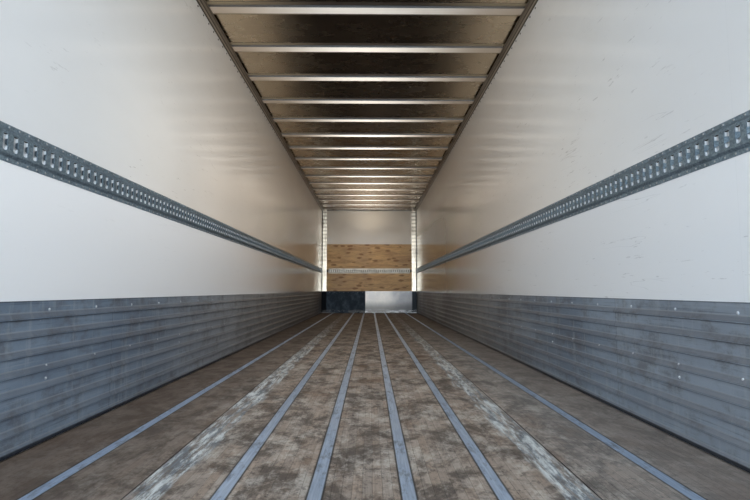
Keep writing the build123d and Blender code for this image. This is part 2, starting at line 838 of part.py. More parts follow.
# Red lamps: identity and clearance lamps on the header, tail lamps on the sill, a marker at each side
lamp_level = (opening_top + roof_under) / 2
with BuildPart() as red_lamps:
    with BuildSketch(across(tail_y)):
        corner = body_side - clearance_lamp_inset
        with Locations(*[(x, lamp_level) for x in (-corner, -identity_lamp_pitch, 0, identity_lamp_pitch, corner)]):
            RegularPolygon(lamp_radius, lamp_sides)
    extrude(amount=lamp_depth)
    with BuildSketch(across(tail_y)):
        places = [side * (body_side - inset) for side in (-1, 1) for inset in tail_lamp_insets]
        with Locations(*[(x, tail_lamp_level) for x in places]):
            RegularPolygon(tail_lamp_radius, lamp_sides)
    extrude(amount=tail_lamp_depth)
    with BuildSketch(Plane.YZ.offset(rail_face)):
        with Locations((frame_front + side_lamp_inset, side_lamp_level)):
            RegularPolygon(lamp_radius, lamp_sides)
    right_marker = extrude(amount=lamp_depth)
    mirror(right_marker, about=Plane.YZ)
write(red_lamps.part, "lamps_red")

# Amber lamps: a marker at the front and middle of each side, clearance lamps high on the nose
with BuildPart() as amber_lamps:
    with BuildSketch(Plane.YZ.offset(rail_face)):
        with Locations(*[(y, side_lamp_level) for y in (rail_front - side_lamp_inset, (nose_y + tail_y) / 2)]):
            RegularPolygon(lamp_radius, lamp_sides)
    extrude(amount=lamp_depth)
    with BuildSketch(across(nose_y)):
        with Locations((front_piece_half - clearance_lamp_inset / 2, (top_rail_low + roof_under) / 2)):
            RegularPolygon(lamp_radius, lamp_sides)
    extrude(amount=-lamp_depth)
    mirror(about=Plane.YZ)
write(amber_lamps.part, "lamps_amber")

# Connection box at the nose, with the electric socket between two air couplings
with BuildPart() as connection_box:
    with BuildSketch(across(front_out)):
        with Locations((0, box_level)):
            Rectangle(box_width, box_height)
    extrude(amount=-box_depth)
    with BuildSketch(across(front_out + box_depth)):
        with Locations((0, box_level)):
            RegularPolygon(socket_radius, lamp_sides)
    extrude(amount=-socket_depth)
    with BuildSketch(across(front_out + box_depth)):
        with Locations((-coupling_place, box_level), (coupling_place, box_level)):
            peg(coupling_stem_radius, coupling_sides)
    extrude(amount=-coupling_stem)
    with BuildSketch(across(front_out + box_depth + coupling_stem)):
        with Locations((-coupling_place, box_level), (coupling_place, box_level)):
            RegularPolygon(coupling_head_radius, coupling_sides)
    extrude(amount=-coupling_head)
write(connection_box.part, "connection_box")
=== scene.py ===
import json
import math
import random

import bmesh
import bpy
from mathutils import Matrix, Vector


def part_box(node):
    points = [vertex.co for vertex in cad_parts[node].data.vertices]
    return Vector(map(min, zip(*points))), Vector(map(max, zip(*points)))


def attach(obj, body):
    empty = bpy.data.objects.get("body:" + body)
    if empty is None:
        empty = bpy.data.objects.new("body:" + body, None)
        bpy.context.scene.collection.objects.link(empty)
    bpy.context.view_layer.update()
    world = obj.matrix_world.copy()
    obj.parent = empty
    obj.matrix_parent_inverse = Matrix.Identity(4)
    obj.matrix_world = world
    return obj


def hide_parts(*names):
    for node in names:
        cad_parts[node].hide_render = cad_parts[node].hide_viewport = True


# Van body of a semi-trailer, seen from inside near the rear doorway towards the nose. Metres, in the axes
# of the frame: +Y towards the nose, +X right, +Z up, the origin at the kingpin under the coupler plate.

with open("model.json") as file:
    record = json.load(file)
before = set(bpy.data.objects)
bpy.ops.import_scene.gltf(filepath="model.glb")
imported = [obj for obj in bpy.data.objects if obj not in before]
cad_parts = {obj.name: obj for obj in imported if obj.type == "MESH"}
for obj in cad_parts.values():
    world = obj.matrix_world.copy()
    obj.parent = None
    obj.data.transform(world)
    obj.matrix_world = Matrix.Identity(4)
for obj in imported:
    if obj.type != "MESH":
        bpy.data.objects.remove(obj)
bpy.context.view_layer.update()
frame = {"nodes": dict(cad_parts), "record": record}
nodes = frame["nodes"]
rng = random.Random(53)

# Gauge of the kick plate and of the trims in the nose's corners
PLATE_GAUGE = 0.003

# Places read from the frame
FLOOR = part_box("floor_boards")[1].z
WALL_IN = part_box("side_wall_right")[0].x
WALL_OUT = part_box("side_wall_right")[1].x
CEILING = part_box("side_wall_right")[1].z
NOSE_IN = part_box("front_wall")[0].y
KICK_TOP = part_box("kick_plate")[1].z
LINER_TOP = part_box("scuff_liner_right")[1].z
LINER_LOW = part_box("scuff_liner_right")[0].z
RAIL_LOW, RAIL_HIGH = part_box("lashing_rail_right")
RAIL_LEVEL = (RAIL_HIGH.z + RAIL_LOW.z) / 2
TRIM_BACK = RAIL_HIGH.y
KICK_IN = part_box("front_lining")[0].y - PLATE_GAUGE
TRIM_IN = NOSE_IN - PLATE_GAUGE
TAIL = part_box("rear_sill")[0].y
FRAME_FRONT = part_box("rear_sill")[1].y
ROOF_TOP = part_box("roof_sheet")[1].z
RAIL_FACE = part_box("roof_sheet")[1].x
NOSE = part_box("front_header")[1].y
CORNER_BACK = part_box("front_corner_right")[0].y
RAIL_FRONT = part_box("top_rail_right")[1].y
BOTTOM_RAIL_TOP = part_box("bottom_rail_right")[1].z
DOOR_LOW, DOOR_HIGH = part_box("door_panel_right")
GUARD_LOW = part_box("rear_guard")[0].z

# Places that the photograph gives
LINER_PLANKS = 8
JOINT_PITCH = 2.70
JOINT_START = -10.55
LINER_JOINT_START = -9.70
KICK_JOINT = -0.107
TRIM_RIVETS_LOW = FLOOR + 0.65
TRIM_PITCH = 0.1016

# Places of the outside's plate joints and tape
PLATE_PITCH = 1.2192
TAPE_LOW = 0.085
TAPE_HIGH = 0.135
TAPE_EDGE = 0.0005
TAPE_PITCH = 1.2
RED_LENGTH = 0.28
TAPE_LENGTH = 0.46

# Camera, fitted to the photograph's 750 by 500 frame
PHOTO_WIDTH = 750
FOCAL_PIXELS = 481.5
SENSOR = 36.0
CAMERA_RIGHT = 0.0238
CAMERA_ABOVE_FLOOR = 0.602
CAMERA_BEHIND_NOSE = 13.064
PITCH = math.radians(4.805)
YAW = math.radians(0.577)


def srgb(red, green, blue):
    """A colour as seen on screen, 0 to 255, as the linear values that a shader takes."""
    def linear(value):
        value /= 255
        return value / 12.92 if value <= 0.04045 else ((value + 0.055) / 1.055) ** 2.4
    return linear(red), linear(green), linear(blue), 1.0


class Material:
    """A material in the making. Its methods add nodes and return an output socket. Colours are given as
    seen on screen, each part from 0 to 255."""

    def __init__(self, name):
        self.material = bpy.data.materials.new(name)
        self.material.use_nodes = True
        self.tree = self.material.node_tree
        self.tree.nodes.clear()
        self.shader = self.add("BsdfPrincipled")
        self.tree.links.new(self.shader.outputs[0], self.add("OutputMaterial").inputs[0])
        self.coords = self.add("TexCoord").outputs["Object"]
        split = self.add("SeparateXYZ")
        self.tree.links.new(self.coords, split.inputs[0])
        self.x, self.y, self.z = split.outputs

    def add(self, kind):
        return self.tree.nodes.new("ShaderNode" + kind)

    def feed(self, socket, value):
        """Sets a socket to a number or a colour, or links another socket to it."""
        if isinstance(value, bpy.types.NodeSocket):
            self.tree.links.new(value, socket)
        elif hasattr(value, "__len__"):
            socket.default_value = srgb(*value)
        else:
            socket.default_value = value

    def scaled(self, x, y, z, shift):
        """The object's coordinates, scaled for each axis, or all by x."""
        node = self.add("Mapping")
        self.feed(node.inputs["Vector"], self.coords)
        node.inputs["Scale"].default_value = (x, x if y is None else y, x if z is None else z)
        node.inputs["Location"].default_value = (shift, shift * 0.7, shift * 1.3)
        return node.outputs[0]

    def noise(self, x, y=None, z=None, detail=4.0, rough=0.55, shift=0.0, twist=0.0):
        """Cloudy noise, 0 to 1, with so many features to the metre along each axis."""
        node = self.add("TexNoise")
        self.feed(node.inputs["Vector"], self.scaled(x, y, z, shift))
        node.inputs["Scale"].default_value = 1.0
        node.inputs["Detail"].default_value = detail
        node.inputs["Roughness"].default_value = rough
        node.inputs["Distortion"].default_value = twist
        return node.outputs[0]

    def cells(self, x, y=None, z=None, shift=0.0, output="Distance"):
        """Cell noise, the distance from scattered points or each cell's own random colour."""
        node = self.add("TexVoronoi")
        self.feed(node.inputs["Vector"], self.scaled(x, y, z, shift))
        node.inputs["Scale"].default_value = 1.0
        return node.outputs[output]

    def dice(self, *numbers):
        """A random number for each whole-numbered place."""
        join = self.add("CombineXYZ")
        for socket, number in zip(join.inputs, numbers):
            self.feed(socket, number)
        node = self.add("TexWhiteNoise")
        self.feed(node.inputs["Vector"], join.outputs[0])
        return node.outputs["Value"]

    def math(self, operation, number, *others):
        """One operation on a number, or on several in turn."""
        for other in others or (0.0,):
            node = self.add("Math")
            node.operation = operation
            self.feed(node.inputs[0], number)
            self.feed(node.inputs[1], other)
            number = node.outputs[0]
        return number

    def times(self, *numbers):
        """Numbers multiplied together."""
        return self.math("MULTIPLY", *numbers)

    def away(self, value, place):
        """How far a value is from a place."""
        return self.math("ABSOLUTE", self.math("SUBTRACT", value, place))

    def repeat(self, value, start, pitch):
        """Runs from 0 to 1 again and again, once in each pitch from the start."""
        return self.math("FRACT", self.math("DIVIDE", self.math("SUBTRACT", value, start), pitch))

    def step(self, value, low, high, start=0.0, end=1.0):
        """Runs smoothly from start to end while the value runs from low to high."""
        node = self.add("MapRange")
        node.interpolation_type = "SMOOTHSTEP"
        for socket, number in zip(node.inputs, (value, low, high, start, end)):
            self.feed(socket, number)
        return node.outputs[0]

    def band(self, value, low, full, fall, high):
        """Rises to 1 from low to full, and falls back to 0 from fall to high."""
        return self.times(self.step(value, low, full), self.step(value, fall, high, 1.0, 0.0))

    def seams(self, value, start, pitch, half, core):
        """Lines one pitch apart, each so wide to either side, with a core that is full."""
        gap = self.away(self.repeat(value, start, pitch), 0.5)
        return self.step(gap, 0.5 - half / pitch, 0.5 - core / pitch)

    def mix(self, share, a, b, most=None):
        """Two colours mixed by a share from 0 to 1, or by so much of the share at most."""
        if most is not None:
            share = self.times(share, most)
        node = self.add("Mix")
        node.data_type = "RGBA"
        for socket, value in ((0, share), (6, a), (7, b)):
            self.feed(node.inputs[socket], value)
        return node.outputs[2]

    def layer(self, color, tint, value, low, high, most=1.0):
        """Lays a tint on a colour, from none of it to the most while the value runs from low to high."""
        return self.mix(self.step(value, low, high, 0.0, most), color, tint)

    def finish(self, color, rough, height=None, distance=None, **others):
        """Feeds the shader, with a bump as high as a height of 0 to 1 times the distance."""
        if height is not None:
            bump = self.add("Bump")
            bump.inputs["Distance"].default_value = distance
            self.feed(bump.inputs["Height"], height)
            others["Normal"] = bump.outputs[0]
        others.update(Base_Color=color, Roughness=rough)
        for name, value in others.items():
            self.feed(self.shader.inputs[name.replace("_", " ")], value)
        return self.material


# Floor

STRIPS = (-0.973, -0.417, -0.139, 0.139, 0.417, 0.973)
STRIP_HALF = 0.0225
OPEN_JOINT = 0.695
LAMINA = 0.031
BOARD_RUN = 0.62


def board_wood():
    """Laminated hardwood, weathered grey-brown and stained, with two worn painted bands along it, and
    painted shade to the left and towards the nose.
    """
    mat = Material("board_wood")
    lane = mat.math("FLOOR", mat.math("DIVIDE", mat.x, LAMINA))
    slide = mat.times(mat.dice(lane, 3), 0.9)
    run = mat.math("FLOOR", mat.math("DIVIDE", mat.math("ADD", mat.y, slide), BOARD_RUN))
    tone = mat.dice(lane, run, 1)
    hue = mat.dice(lane, run, 5)
    color = mat.mix(tone, (150, 138, 128), (172, 160, 149))
    color = mat.mix(hue, color, (156, 130, 108), 0.4)
    grain = mat.noise(140, 7, 20, 6, 0.65)
    color = mat.layer(color, (92, 78, 68), grain, 0.35, 0.75, 0.4)
    cloud = mat.noise(5.5, 4.2, 1, 9, 0.76, twist=0.4)
    color = mat.layer(color, (68, 58, 51), cloud, 0.44, 0.58, 0.82)
    pale = mat.noise(9, 6, 1, 8, 0.75, shift=11)
    color = mat.layer(color, (206, 198, 188), pale, 0.48, 0.66, 0.55)
    brown = mat.noise(3.2, 2.2, 1, 7, 0.7, shift=27)
    color = mat.layer(color, (118, 92, 72), brown, 0.52, 0.68, 0.6)
    mottle = mat.noise(42, 34, 1, 6, 0.75, shift=5)
    color = mat.layer(color, (62, 54, 49), mottle, 0.5, 0.66, 0.55)
    spots = mat.noise(22, 17, 1, 6, 0.8, shift=15)
    color = mat.layer(color, (40, 34, 32), spots, 0.58, 0.68, 0.75)
    side = mat.math("ABSOLUTE", mat.x)
    color = mat.layer(color, (112, 90, 74), side, 0.99, 1.06, 0.4)
    # painted shade, darker to the left
    color = mat.layer(color, (84, 72, 63), mat.x, -0.45, -0.85, 0.6)
    color = mat.layer(color, (142, 142, 142), mat.x, 0.5, 0.95, 0.4)
    # painted shade, darker towards the nose
    color = mat.layer(color, (80, 70, 62), mat.y, -8, -2.5, 0.62)

    # worn paint, straight at the outer edge and ragged at the inner one
    ragged = mat.times(mat.noise(14, 2.6, 1, 6, shift=7), 0.15)
    inner = mat.step(mat.math("ADD", side, ragged), 0.640, 0.664)
    outer = mat.step(side, 0.688, 0.692, 1, 0)
    worn = mat.noise(46, 5, 1, 9, 0.78, shift=21)
    kept = mat.step(worn, 0.42, 0.54, 0.1, 1)
    fading = mat.step(mat.y, -9, -1, 1, 0.25)
    band = mat.times(inner, outer, kept)
    band = mat.times(band, fading)
    band_tone = mat.noise(30, 7, 1, 8, 0.75, shift=31)
    band_color = mat.layer((208, 212, 212), (112, 118, 124), band_tone, 0.42, 0.58)
    color = mat.mix(band, color, band_color)

    # dirt beside the metal strips and in the joints between the laminations
    nearest = mat.math("MINIMUM", *[mat.away(mat.x, place) for place in STRIPS])
    color = mat.mix(mat.step(nearest, STRIP_HALF, STRIP_HALF + 0.007, 0.9, 0), color, (22, 20, 20))
    seam = mat.away(side, OPEN_JOINT)
    color = mat.mix(mat.step(seam, 0.001, 0.004, 0.9, 0), color, (16, 13, 12))
    place_in_lane = mat.math("FRACT", mat.math("DIVIDE", mat.x, LAMINA))
    joint = mat.step(mat.away(place_in_lane, 0.5), 0.46, 0.5)
    color = mat.mix(joint, color, (40, 33, 29), 0.3)
    height = mat.math("SUBTRACT", grain, mat.times(joint, 0.8))
    height = mat.math("ADD", height, mat.times(band, 0.3))
    rough = mat.step(cloud, 0.35, 0.7, 0.62, 0.86)
    return mat.finish(color, rough, height, 0.0012)


def strip_steel():
    """Floor strips, polished by wheels, streaked along their length and dark at their edges, with a blue
    tint that is a painted reflection of the daylight.
    """
    mat = Material("strip_steel")
    streak = mat.noise(160, 6, 1, 5)
    dirt = mat.noise(20, 6, 1, 7, 0.75, shift=4)
    # the blue in the steel's grey is a painted reflection of the daylight
    color = mat.layer((170, 190, 216), (200, 217, 240), streak, 0.3, 0.7)
    color = mat.layer(color, (112, 114, 122), dirt, 0.5, 0.66, 0.6)
    nearest = mat.math("MINIMUM", *[mat.away(mat.x, place) for place in STRIPS])
    color = mat.layer(color, (30, 28, 30), nearest, STRIP_HALF - 0.004, STRIP_HALF - 0.001, 0.85)
    rough = mat.step(dirt, 0.4, 0.7, 0.34, 0.6)
    return mat.finish(color, rough, streak, 0.0003, Metallic=0.6)


# Walls

def wall_white():
    """Glossy white facing: faint scuffs and sheet joints inside, plate joints and rain streaks outside, and
    painted light and shade inside.
    """
    mat = Material("wall_white")
    grime = mat.noise(0.8, 0.7, 1.6, 6, 0.6)
    color = mat.layer((240, 240, 238), (222, 221, 217), grime, 0.4, 0.75, 0.35)
    inside = mat.step(mat.math("ABSOLUTE", mat.x), WALL_IN + 0.002, WALL_IN + 0.005, 1, 0)
    inside = mat.times(inside, mat.step(mat.y, NOSE_IN + 0.002, NOSE_IN + 0.004, 1, 0))

    # scuffs left by loads, long and slightly curved, in scattered places
    scuff = mat.noise(1, 1.1, 13, 3, 0.5, shift=3, twist=0.5)
    where = mat.noise(0.9, 1.3, 2.1, shift=9)
    thin = mat.step(mat.away(scuff, 0.56), 0.002, 0.006, 1, 0)
    scuffs = mat.times(thin, mat.step(where, 0.56, 0.66))
    short = mat.noise(2, 7, 60, 4, 0.7, shift=17)
    marks = mat.times(mat.step(short, 0.65, 0.69), mat.step(where, 0.38, 0.52))
    scuffs = mat.times(mat.math("MAXIMUM", scuffs, marks), inside)
    color = mat.mix(scuffs, color, (112, 106, 102), 0.48)

    # joints of the facing, and dirt that runs down outside
    line = mat.seams(mat.y, JOINT_START, JOINT_PITCH, 0.0022, 0.0012)
    color = mat.mix(mat.times(line, inside), color, (110, 112, 114), 0.06)
    outside = mat.math("SUBTRACT", 1, inside)
    joint = mat.seams(RAIL_FRONT, mat.y, PLATE_PITCH, 0.004, 0.002)
    color = mat.mix(mat.times(joint, outside), color, (90, 92, 94), 0.6)
    drips = mat.noise(3, 9, 0.35, 7, 0.7, shift=6)
    low = mat.step(mat.z, 0.15, 1.1, 0.34, 0.04)
    dirt = mat.times(mat.step(drips, 0.42, 0.72), low)
    color = mat.mix(mat.times(dirt, outside), color, (150, 144, 134))

    # cooler painted light below the lashing rails, painted shade above them near the doorway, warmer
    # painted light above them further in, painted light on the left wall below them, and painted shade
    # towards the nose
    over = mat.math("SUBTRACT", mat.z, RAIL_LEVEL)
    above = mat.step(over, -0.05, 0.05)
    below = mat.times(inside, mat.math("SUBTRACT", 1, above))
    color = mat.mix(below, color, (234, 240, 248), 0.5)
    near = mat.times(inside, above, mat.step(mat.y, -9, -10.5))
    color = mat.mix(near, color, (224, 226, 229), 0.6)
    warm_painted_light = mat.times(inside, above, mat.step(mat.y, -10.5, -7.5))
    warm_painted_light = mat.times(warm_painted_light, mat.step(mat.x, -1, 1, 0.7, 0.45))
    color = mat.mix(warm_painted_light, color, (244, 230, 214))
    left_painted_light = mat.times(below, mat.step(mat.x, 0, -0.5))
    color = mat.mix(left_painted_light, color, (252, 252, 253), 0.8)
    # painted shade towards the nose, stronger and sooner on the right and weaker high up
    painted_shade_start = mat.step(mat.x, -1, 1, -7.4, -9.2)
    painted_shade_full = mat.step(mat.x, -1, 1, -2.4, -3.2)
    dull = mat.times(inside, mat.step(mat.y, painted_shade_start, painted_shade_full))
    dull = mat.times(dull, mat.step(mat.x, -1, 1, 0.68, 0.95))
    dull = mat.times(dull, mat.step(over, 0.6, 1.25, 1, 0.3))
    color = mat.mix(dull, color, (122, 113, 100))

    # shade behind the lashing rails, seen through the tops of their slots, and a warmer nose
    shade = mat.band(over, 0.0290, 0.0298, 0.042, 0.044)
    shade = mat.times(shade, inside)
    color = mat.mix(shade, color, (16, 20, 26), 0.9)
    nose = mat.times(inside, mat.step(mat.y, NOSE_IN - 0.003, NOSE_IN - 0.001))
    color = mat.mix(nose, color, (224, 211, 191))
    wave = mat.noise(0.6, 1.1, 1.4, 2, shift=2)
    height = mat.math("SUBTRACT", wave, mat.times(line, 0.03))
    rough = mat.step(grime, 0.35, 0.75, 0.13, 0.2)
    return mat.finish(color, rough, height, 0.003, Specular_IOR_Level=0.6)


def liner_aluminium():
    """Ribbed planks, dull blue-grey to grey, rubbed and stained, with joints and a dark foot, painted light
    and shade along them, and a painted highlight and shadow at each plank's nose.
    """
    mat = Material("liner_aluminium")
    rub = mat.noise(2, 2.2, 70, 7, 0.72)
    stain = mat.noise(2, 5, 7, 8, 0.72, shift=5)
    patch = mat.noise(1.2, 0.9, 2.2, 5, shift=13)
    speck = mat.noise(50, 50, 50, 4, 0.8, shift=19)
    color = mat.layer((126, 145, 168), (160, 178, 198), patch, 0.35, 0.65)
    neutral = mat.layer((144, 147, 150), (176, 177, 178), patch, 0.35, 0.65)
    color = mat.layer(color, neutral, mat.y, -10, -6)
    # painted light on the left midway along
    mid_left = mat.times(mat.step(mat.x, 0, -0.5), mat.step(mat.y, -9.8, -8.2))
    color = mat.mix(mid_left, color, (210, 208, 206), 0.22)
    # painted shade towards the nose, stronger on the right
    worn = mat.times(mat.step(mat.y, -7, -3), mat.step(mat.x, -1, 1, 0.64, 0.92))
    color = mat.mix(worn, color, (98, 96, 95))
    # painted light on the right near the doorway
    near_right = mat.times(mat.step(mat.x, 0, 0.5), mat.step(mat.y, -9, -10.5))
    color = mat.mix(near_right, color, (206, 214, 222), 0.35)
    color = mat.layer(color, (114, 112, 112), stain, 0.46, 0.66, 0.6)
    color = mat.layer(color, (188, 200, 212), rub, 0.54, 0.70, 0.45)
    color = mat.layer(color, (84, 88, 96), rub, 0.46, 0.32, 0.4)
    smear = mat.noise(2, 24, 2.2, 6, 0.7, shift=29)
    color = mat.layer(color, (190, 200, 208), smear, 0.52, 0.66, 0.35)
    color = mat.layer(color, (214, 222, 230), speck, 0.69, 0.73, 0.8)

    # each plank slopes out to a nose: painted shade on the slope, a painted highlight on top of the nose
    # and a painted shadow under it
    plank = (LINER_TOP - LINER_LOW) / LINER_PLANKS
    share = mat.repeat(mat.z, LINER_LOW, plank)
    slope = mat.band(share, 0.03, 0.06, 0.34, 0.38)
    color = mat.mix(slope, color, (92, 96, 106), 0.5)
    nose_highlight = mat.band(share, 0.30, 0.34, 0.36, 0.42)
    color = mat.mix(nose_highlight, color, (196, 206, 216), 0.45)
    under = mat.step(share, 0.90, 1)
    color = mat.mix(under, color, (42, 46, 54), 0.72)
    line = mat.seams(mat.y, LINER_JOINT_START, JOINT_PITCH, 0.003, 0.0015)
    color = mat.mix(line, color, (40, 42, 48), 0.3)
    foot = mat.step(mat.z, LINER_LOW + 0.010, LINER_LOW + 0.016, 1, 0)
    color = mat.mix(foot, color, (12, 20, 32), 0.9)
    height = mat.math("SUBTRACT", rub, line)
    rough = mat.step(patch, 0.3, 0.7, 0.36, 0.52)
    return mat.finish(color, rough, height, 0.0004, Metallic=0.55)


def galvanised_steel(name="galvanised_steel", bright=1, painted_light_back=False):
    """Zinc spangle over steel, made brighter by a factor as painted light. Behind the lashing rails' caps
    it can paint light: pale as painted light seen through the slots, with painted shade on the left tabs.
    """
    mat = Material(name)
    grey = mat.add("RGBToBW")
    mat.feed(grey.inputs[0], mat.cells(160, output="Color"))
    cloud = mat.noise(12, detail=6, rough=0.7)
    low = [value * bright for value in (96, 114, 127)]
    high = [value * bright for value in (144, 162, 175)]
    color = mat.mix(grey.outputs[0], low, high)
    color = mat.layer(color, (86, 92, 96), cloud, 0.5, 0.75, 0.5)
    if painted_light_back:
        # behind its cap the rail is painted pale as painted light seen through the slots, with painted
        # shade on the tabs in the middle on the left
        off_wall = mat.math("SUBTRACT", WALL_IN, mat.math("ABSOLUTE", mat.x))
        behind = mat.step(off_wall, 0.0100, 0.0104, 1, 0)
        level = mat.away(mat.z, RAIL_LEVEL)
        reach = mat.math("ADD", level, mat.times(off_wall, 1.183))
        pale = mat.times(behind, mat.step(reach, 0.0515, 0.0525, 1, 0))
        pale = mat.times(pale, mat.step(level, 0.0122, 0.0134))
        color = mat.mix(pale, color, (240, 243, 246))
        tongue = mat.times(behind, mat.step(level, 0.0122, 0.0134, 1, 0))
        color = mat.mix(mat.times(tongue, mat.step(mat.x, 0, -0.1)), color, (78, 88, 96))
        metallic = mat.step(pale, 0, 1, 0.8, 0)
    else:
        metallic = 0.8
    rough = mat.step(grey.outputs[0], 0, 1, 0.36, 0.52)
    return mat.finish(color, rough, cloud, 0.0004, Metallic=metallic)


def cream_zinc():
    """The nose's short rail, yellowed and pale."""
    mat = Material("cream_zinc")
    cloud = mat.noise(9, detail=6, rough=0.7)
    color = mat.layer((232, 222, 204), (196, 184, 166), cloud, 0.4, 0.7)
    return mat.finish(color, 0.42, cloud, 0.0003, Metallic=0.3)


# Roof

def roof_aluminium():
    """Thin mirror-like sheet with shallow waves and dull patches, and a painted reflection: dark in the
    middle, paler at the sides and towards the nose.
    """
    mat = Material("roof_aluminium")
    wave = mat.noise(0.9, 2.2, 1, 2)
    dull = mat.noise(2.5, 5, 1, 6, 0.7, shift=8)
    specks = mat.noise(40, 40, 1, 4, 0.8, shift=15)
    # painted reflection: dark in the middle, paler at the sides and towards the nose
    side = mat.step(mat.math("ABSOLUTE", mat.x), 0.25, 1.15)
    far = mat.step(mat.y, -5, -0.5)
    color = mat.mix(side, (112, 103, 92), (224, 208, 182))
    color = mat.mix(far, color, (176, 160, 141))
    color = mat.layer(color, (140, 130, 116), dull, 0.42, 0.7, 0.1)
    color = mat.layer(color, (84, 76, 66), specks, 0.68, 0.75, 0.5)
    outer = mat.step(mat.z, ROOF_TOP - 0.0008, ROOF_TOP - 0.0004)
    weather = mat.layer((196, 199, 201), (166, 167, 166), dull, 0.4, 0.7)
    color = mat.mix(outer, color, weather)
    rough = mat.step(dull, 0.35, 0.75, 0.24, 0.32)
    rough = mat.math("ADD", rough, mat.times(outer, 0.42))
    duller = mat.math("MAXIMUM", mat.times(far, 0.3), mat.times(outer, 0.85))
    metallic = mat.math("SUBTRACT", 1, duller)
    return mat.finish(color, rough, wave, 0.0011, Metallic=metallic)


def bow_steel():
    """Pale caps with a painted highlight in the middle that fades to their ends, between dark webs and dull
    feet that carry painted light and shade.
    """
    mat = Material("bow_steel")
    normal = mat.add("SeparateXYZ")
    mat.feed(normal.inputs[0], mat.add("TexCoord").outputs["Normal"])
    down = mat.step(mat.math("ABSOLUTE", normal.outputs[2]), 0.5, 0.9)
    cap = mat.times(down, mat.step(mat.z, CEILING + 0.0085, CEILING + 0.0095, 1, 0))
    brushed = mat.noise(1.2, 90, 60, 3)
    cloud = mat.noise(2, 5, 10, 4)
    # painted highlight in the middle of the caps, and painted shade on the webs and feet in the middle
    side = mat.step(mat.math("ABSOLUTE", mat.x), 0.3, 1.2)
    pale = mat.mix(side, (255, 250, 242), (198, 181, 162))
    pale = mat.layer(pale, (206, 194, 180), brushed, 0.45, 0.75, 0.2)
    pale = mat.layer(pale, (186, 172, 156), cloud, 0.55, 0.75, 0.2)
    # painted light on the webs and feet towards the nose
    far = mat.step(mat.y, -5, -0.5)
    web = mat.mix(side, (24, 20, 17), (70, 60, 50))
    web = mat.mix(far, web, (84, 70, 57))
    foot = mat.mix(side, (58, 50, 43), (160, 144, 118))
    dull = mat.mix(down, web, mat.mix(far, foot, (170, 154, 134)))
    color = mat.mix(cap, dull, pale)
    rough = mat.step(cap, 0, 1, 0.4, 0.34)
    metallic = mat.step(down, 0, 1, 0.2, 0.12)
    return mat.finish(color, rough, brushed, 0.00003, Metallic=metallic)


def rail_aluminium(name="rail_aluminium", shade=(176, 178, 178), edges=(), metallic=0.9, taped=False,
                   beads=False):
    """Extruded aluminium with die lines, and where asked with painted lines of shade and highlight across
    the body, tape or beads.
    """
    mat = Material(name)
    lines = mat.noise(90, 0.6, 90)
    grime = mat.noise(3, 2, 3, 6, 0.7, shift=6)
    darker = [value * 0.72 for value in shade]
    color = mat.layer(shade, [value * 0.9 for value in shade], lines, 0.35, 0.65)
    color = mat.layer(color, darker, grime, 0.5, 0.72, 0.6)
    side = mat.math("ABSOLUTE", mat.x)
    outer = mat.math("MAXIMUM", mat.step(side, WALL_OUT, WALL_OUT + 0.0005),
                     mat.step(mat.y, NOSE - 0.0085, NOSE - 0.0075))
    plain = mat.layer((190, 192, 194), (146, 147, 148), grime, 0.45, 0.72)
    color = mat.mix(outer, color, plain)
    inside = mat.step(mat.y, NOSE_IN, NOSE_IN + 0.004, 0.9, 0)
    # painted lines of shade and highlight
    for place, half, tone in edges:
        away = mat.away(side, place)
        share = mat.times(mat.step(away, half * 0.6, half, 1, 0), inside)
        color = mat.mix(share, color, tone)
    if beads:
        away = mat.away(mat.repeat(mat.z, TRIM_RIVETS_LOW, TRIM_PITCH), 0.5)
        gap = mat.times(mat.step(away, 0.12, 0.3, 1, 0), inside)
        gap = mat.times(gap, mat.step(mat.z, RAIL_LOW.z, CEILING, 0.08, 0.6))
        color = mat.mix(gap, color, (96, 84, 70))
    if taped:
        run = mat.math("FLOORED_MODULO", mat.y, TAPE_PITCH)
        band = mat.band(mat.z, TAPE_LOW, TAPE_LOW + TAPE_EDGE, TAPE_HIGH - TAPE_EDGE, TAPE_HIGH)
        band = mat.times(band, mat.step(side, RAIL_FACE - 0.0012, RAIL_FACE - 0.0008))
        band = mat.times(band, mat.step(run, TAPE_LENGTH, TAPE_LENGTH + 0.001, 1, 0))
        tape = mat.layer((170, 26, 26), (222, 222, 218), run, RED_LENGTH, RED_LENGTH + 0.001)
        color = mat.mix(band, color, tape)
        metallic = mat.times(mat.math("SUBTRACT", 1, band), metallic)
    rough = mat.step(grime, 0.4, 0.7, 0.3, 0.5)
    return mat.finish(color, rough, lines, 0.0003, Metallic=metallic)


# Nose

def plywood():
    """Varnished plywood, golden tan with long brown knots and flame grain."""
    mat = Material("plywood")
    flame = mat.noise(1.6, 1, 9, 6, 0.6, twist=1.2)
    color = mat.layer((230, 186, 122), (198, 152, 96), flame, 0.36, 0.66)
    sheet = mat.noise(0.7, 1, 0.5, 3, shift=23)
    color = mat.layer(color, (176, 142, 104), sheet, 0.45, 0.6, 0.4)
    knots = mat.cells(3.6, 1, 9.5, shift=2)
    wobble = mat.times(mat.noise(9, 1, 26, 6, 0.7, shift=3), 0.6)
    knot = mat.step(mat.math("ADD", knots, wobble), 0.49, 0.66, 0.85, 0)
    color = mat.mix(knot, color, (146, 98, 42))
    specks = mat.noise(11, 1, 16, 6, 0.75, shift=9)
    color = mat.layer(color, (124, 82, 46), specks, 0.6, 0.7, 0.6)
    fibre = mat.noise(10, 1, 120, shift=4)
    color = mat.layer(color, (130, 94, 58), fibre, 0.4, 0.7, 0.3)

    # shade behind the nose's short rail, seen through its slots
    level = mat.away(mat.z, RAIL_LEVEL)
    color = mat.mix(mat.step(level, 0.036, 0.040, 0.85, 0), color, (34, 27, 20))
    return mat.finish(color, 0.45, fibre, 0.0004)


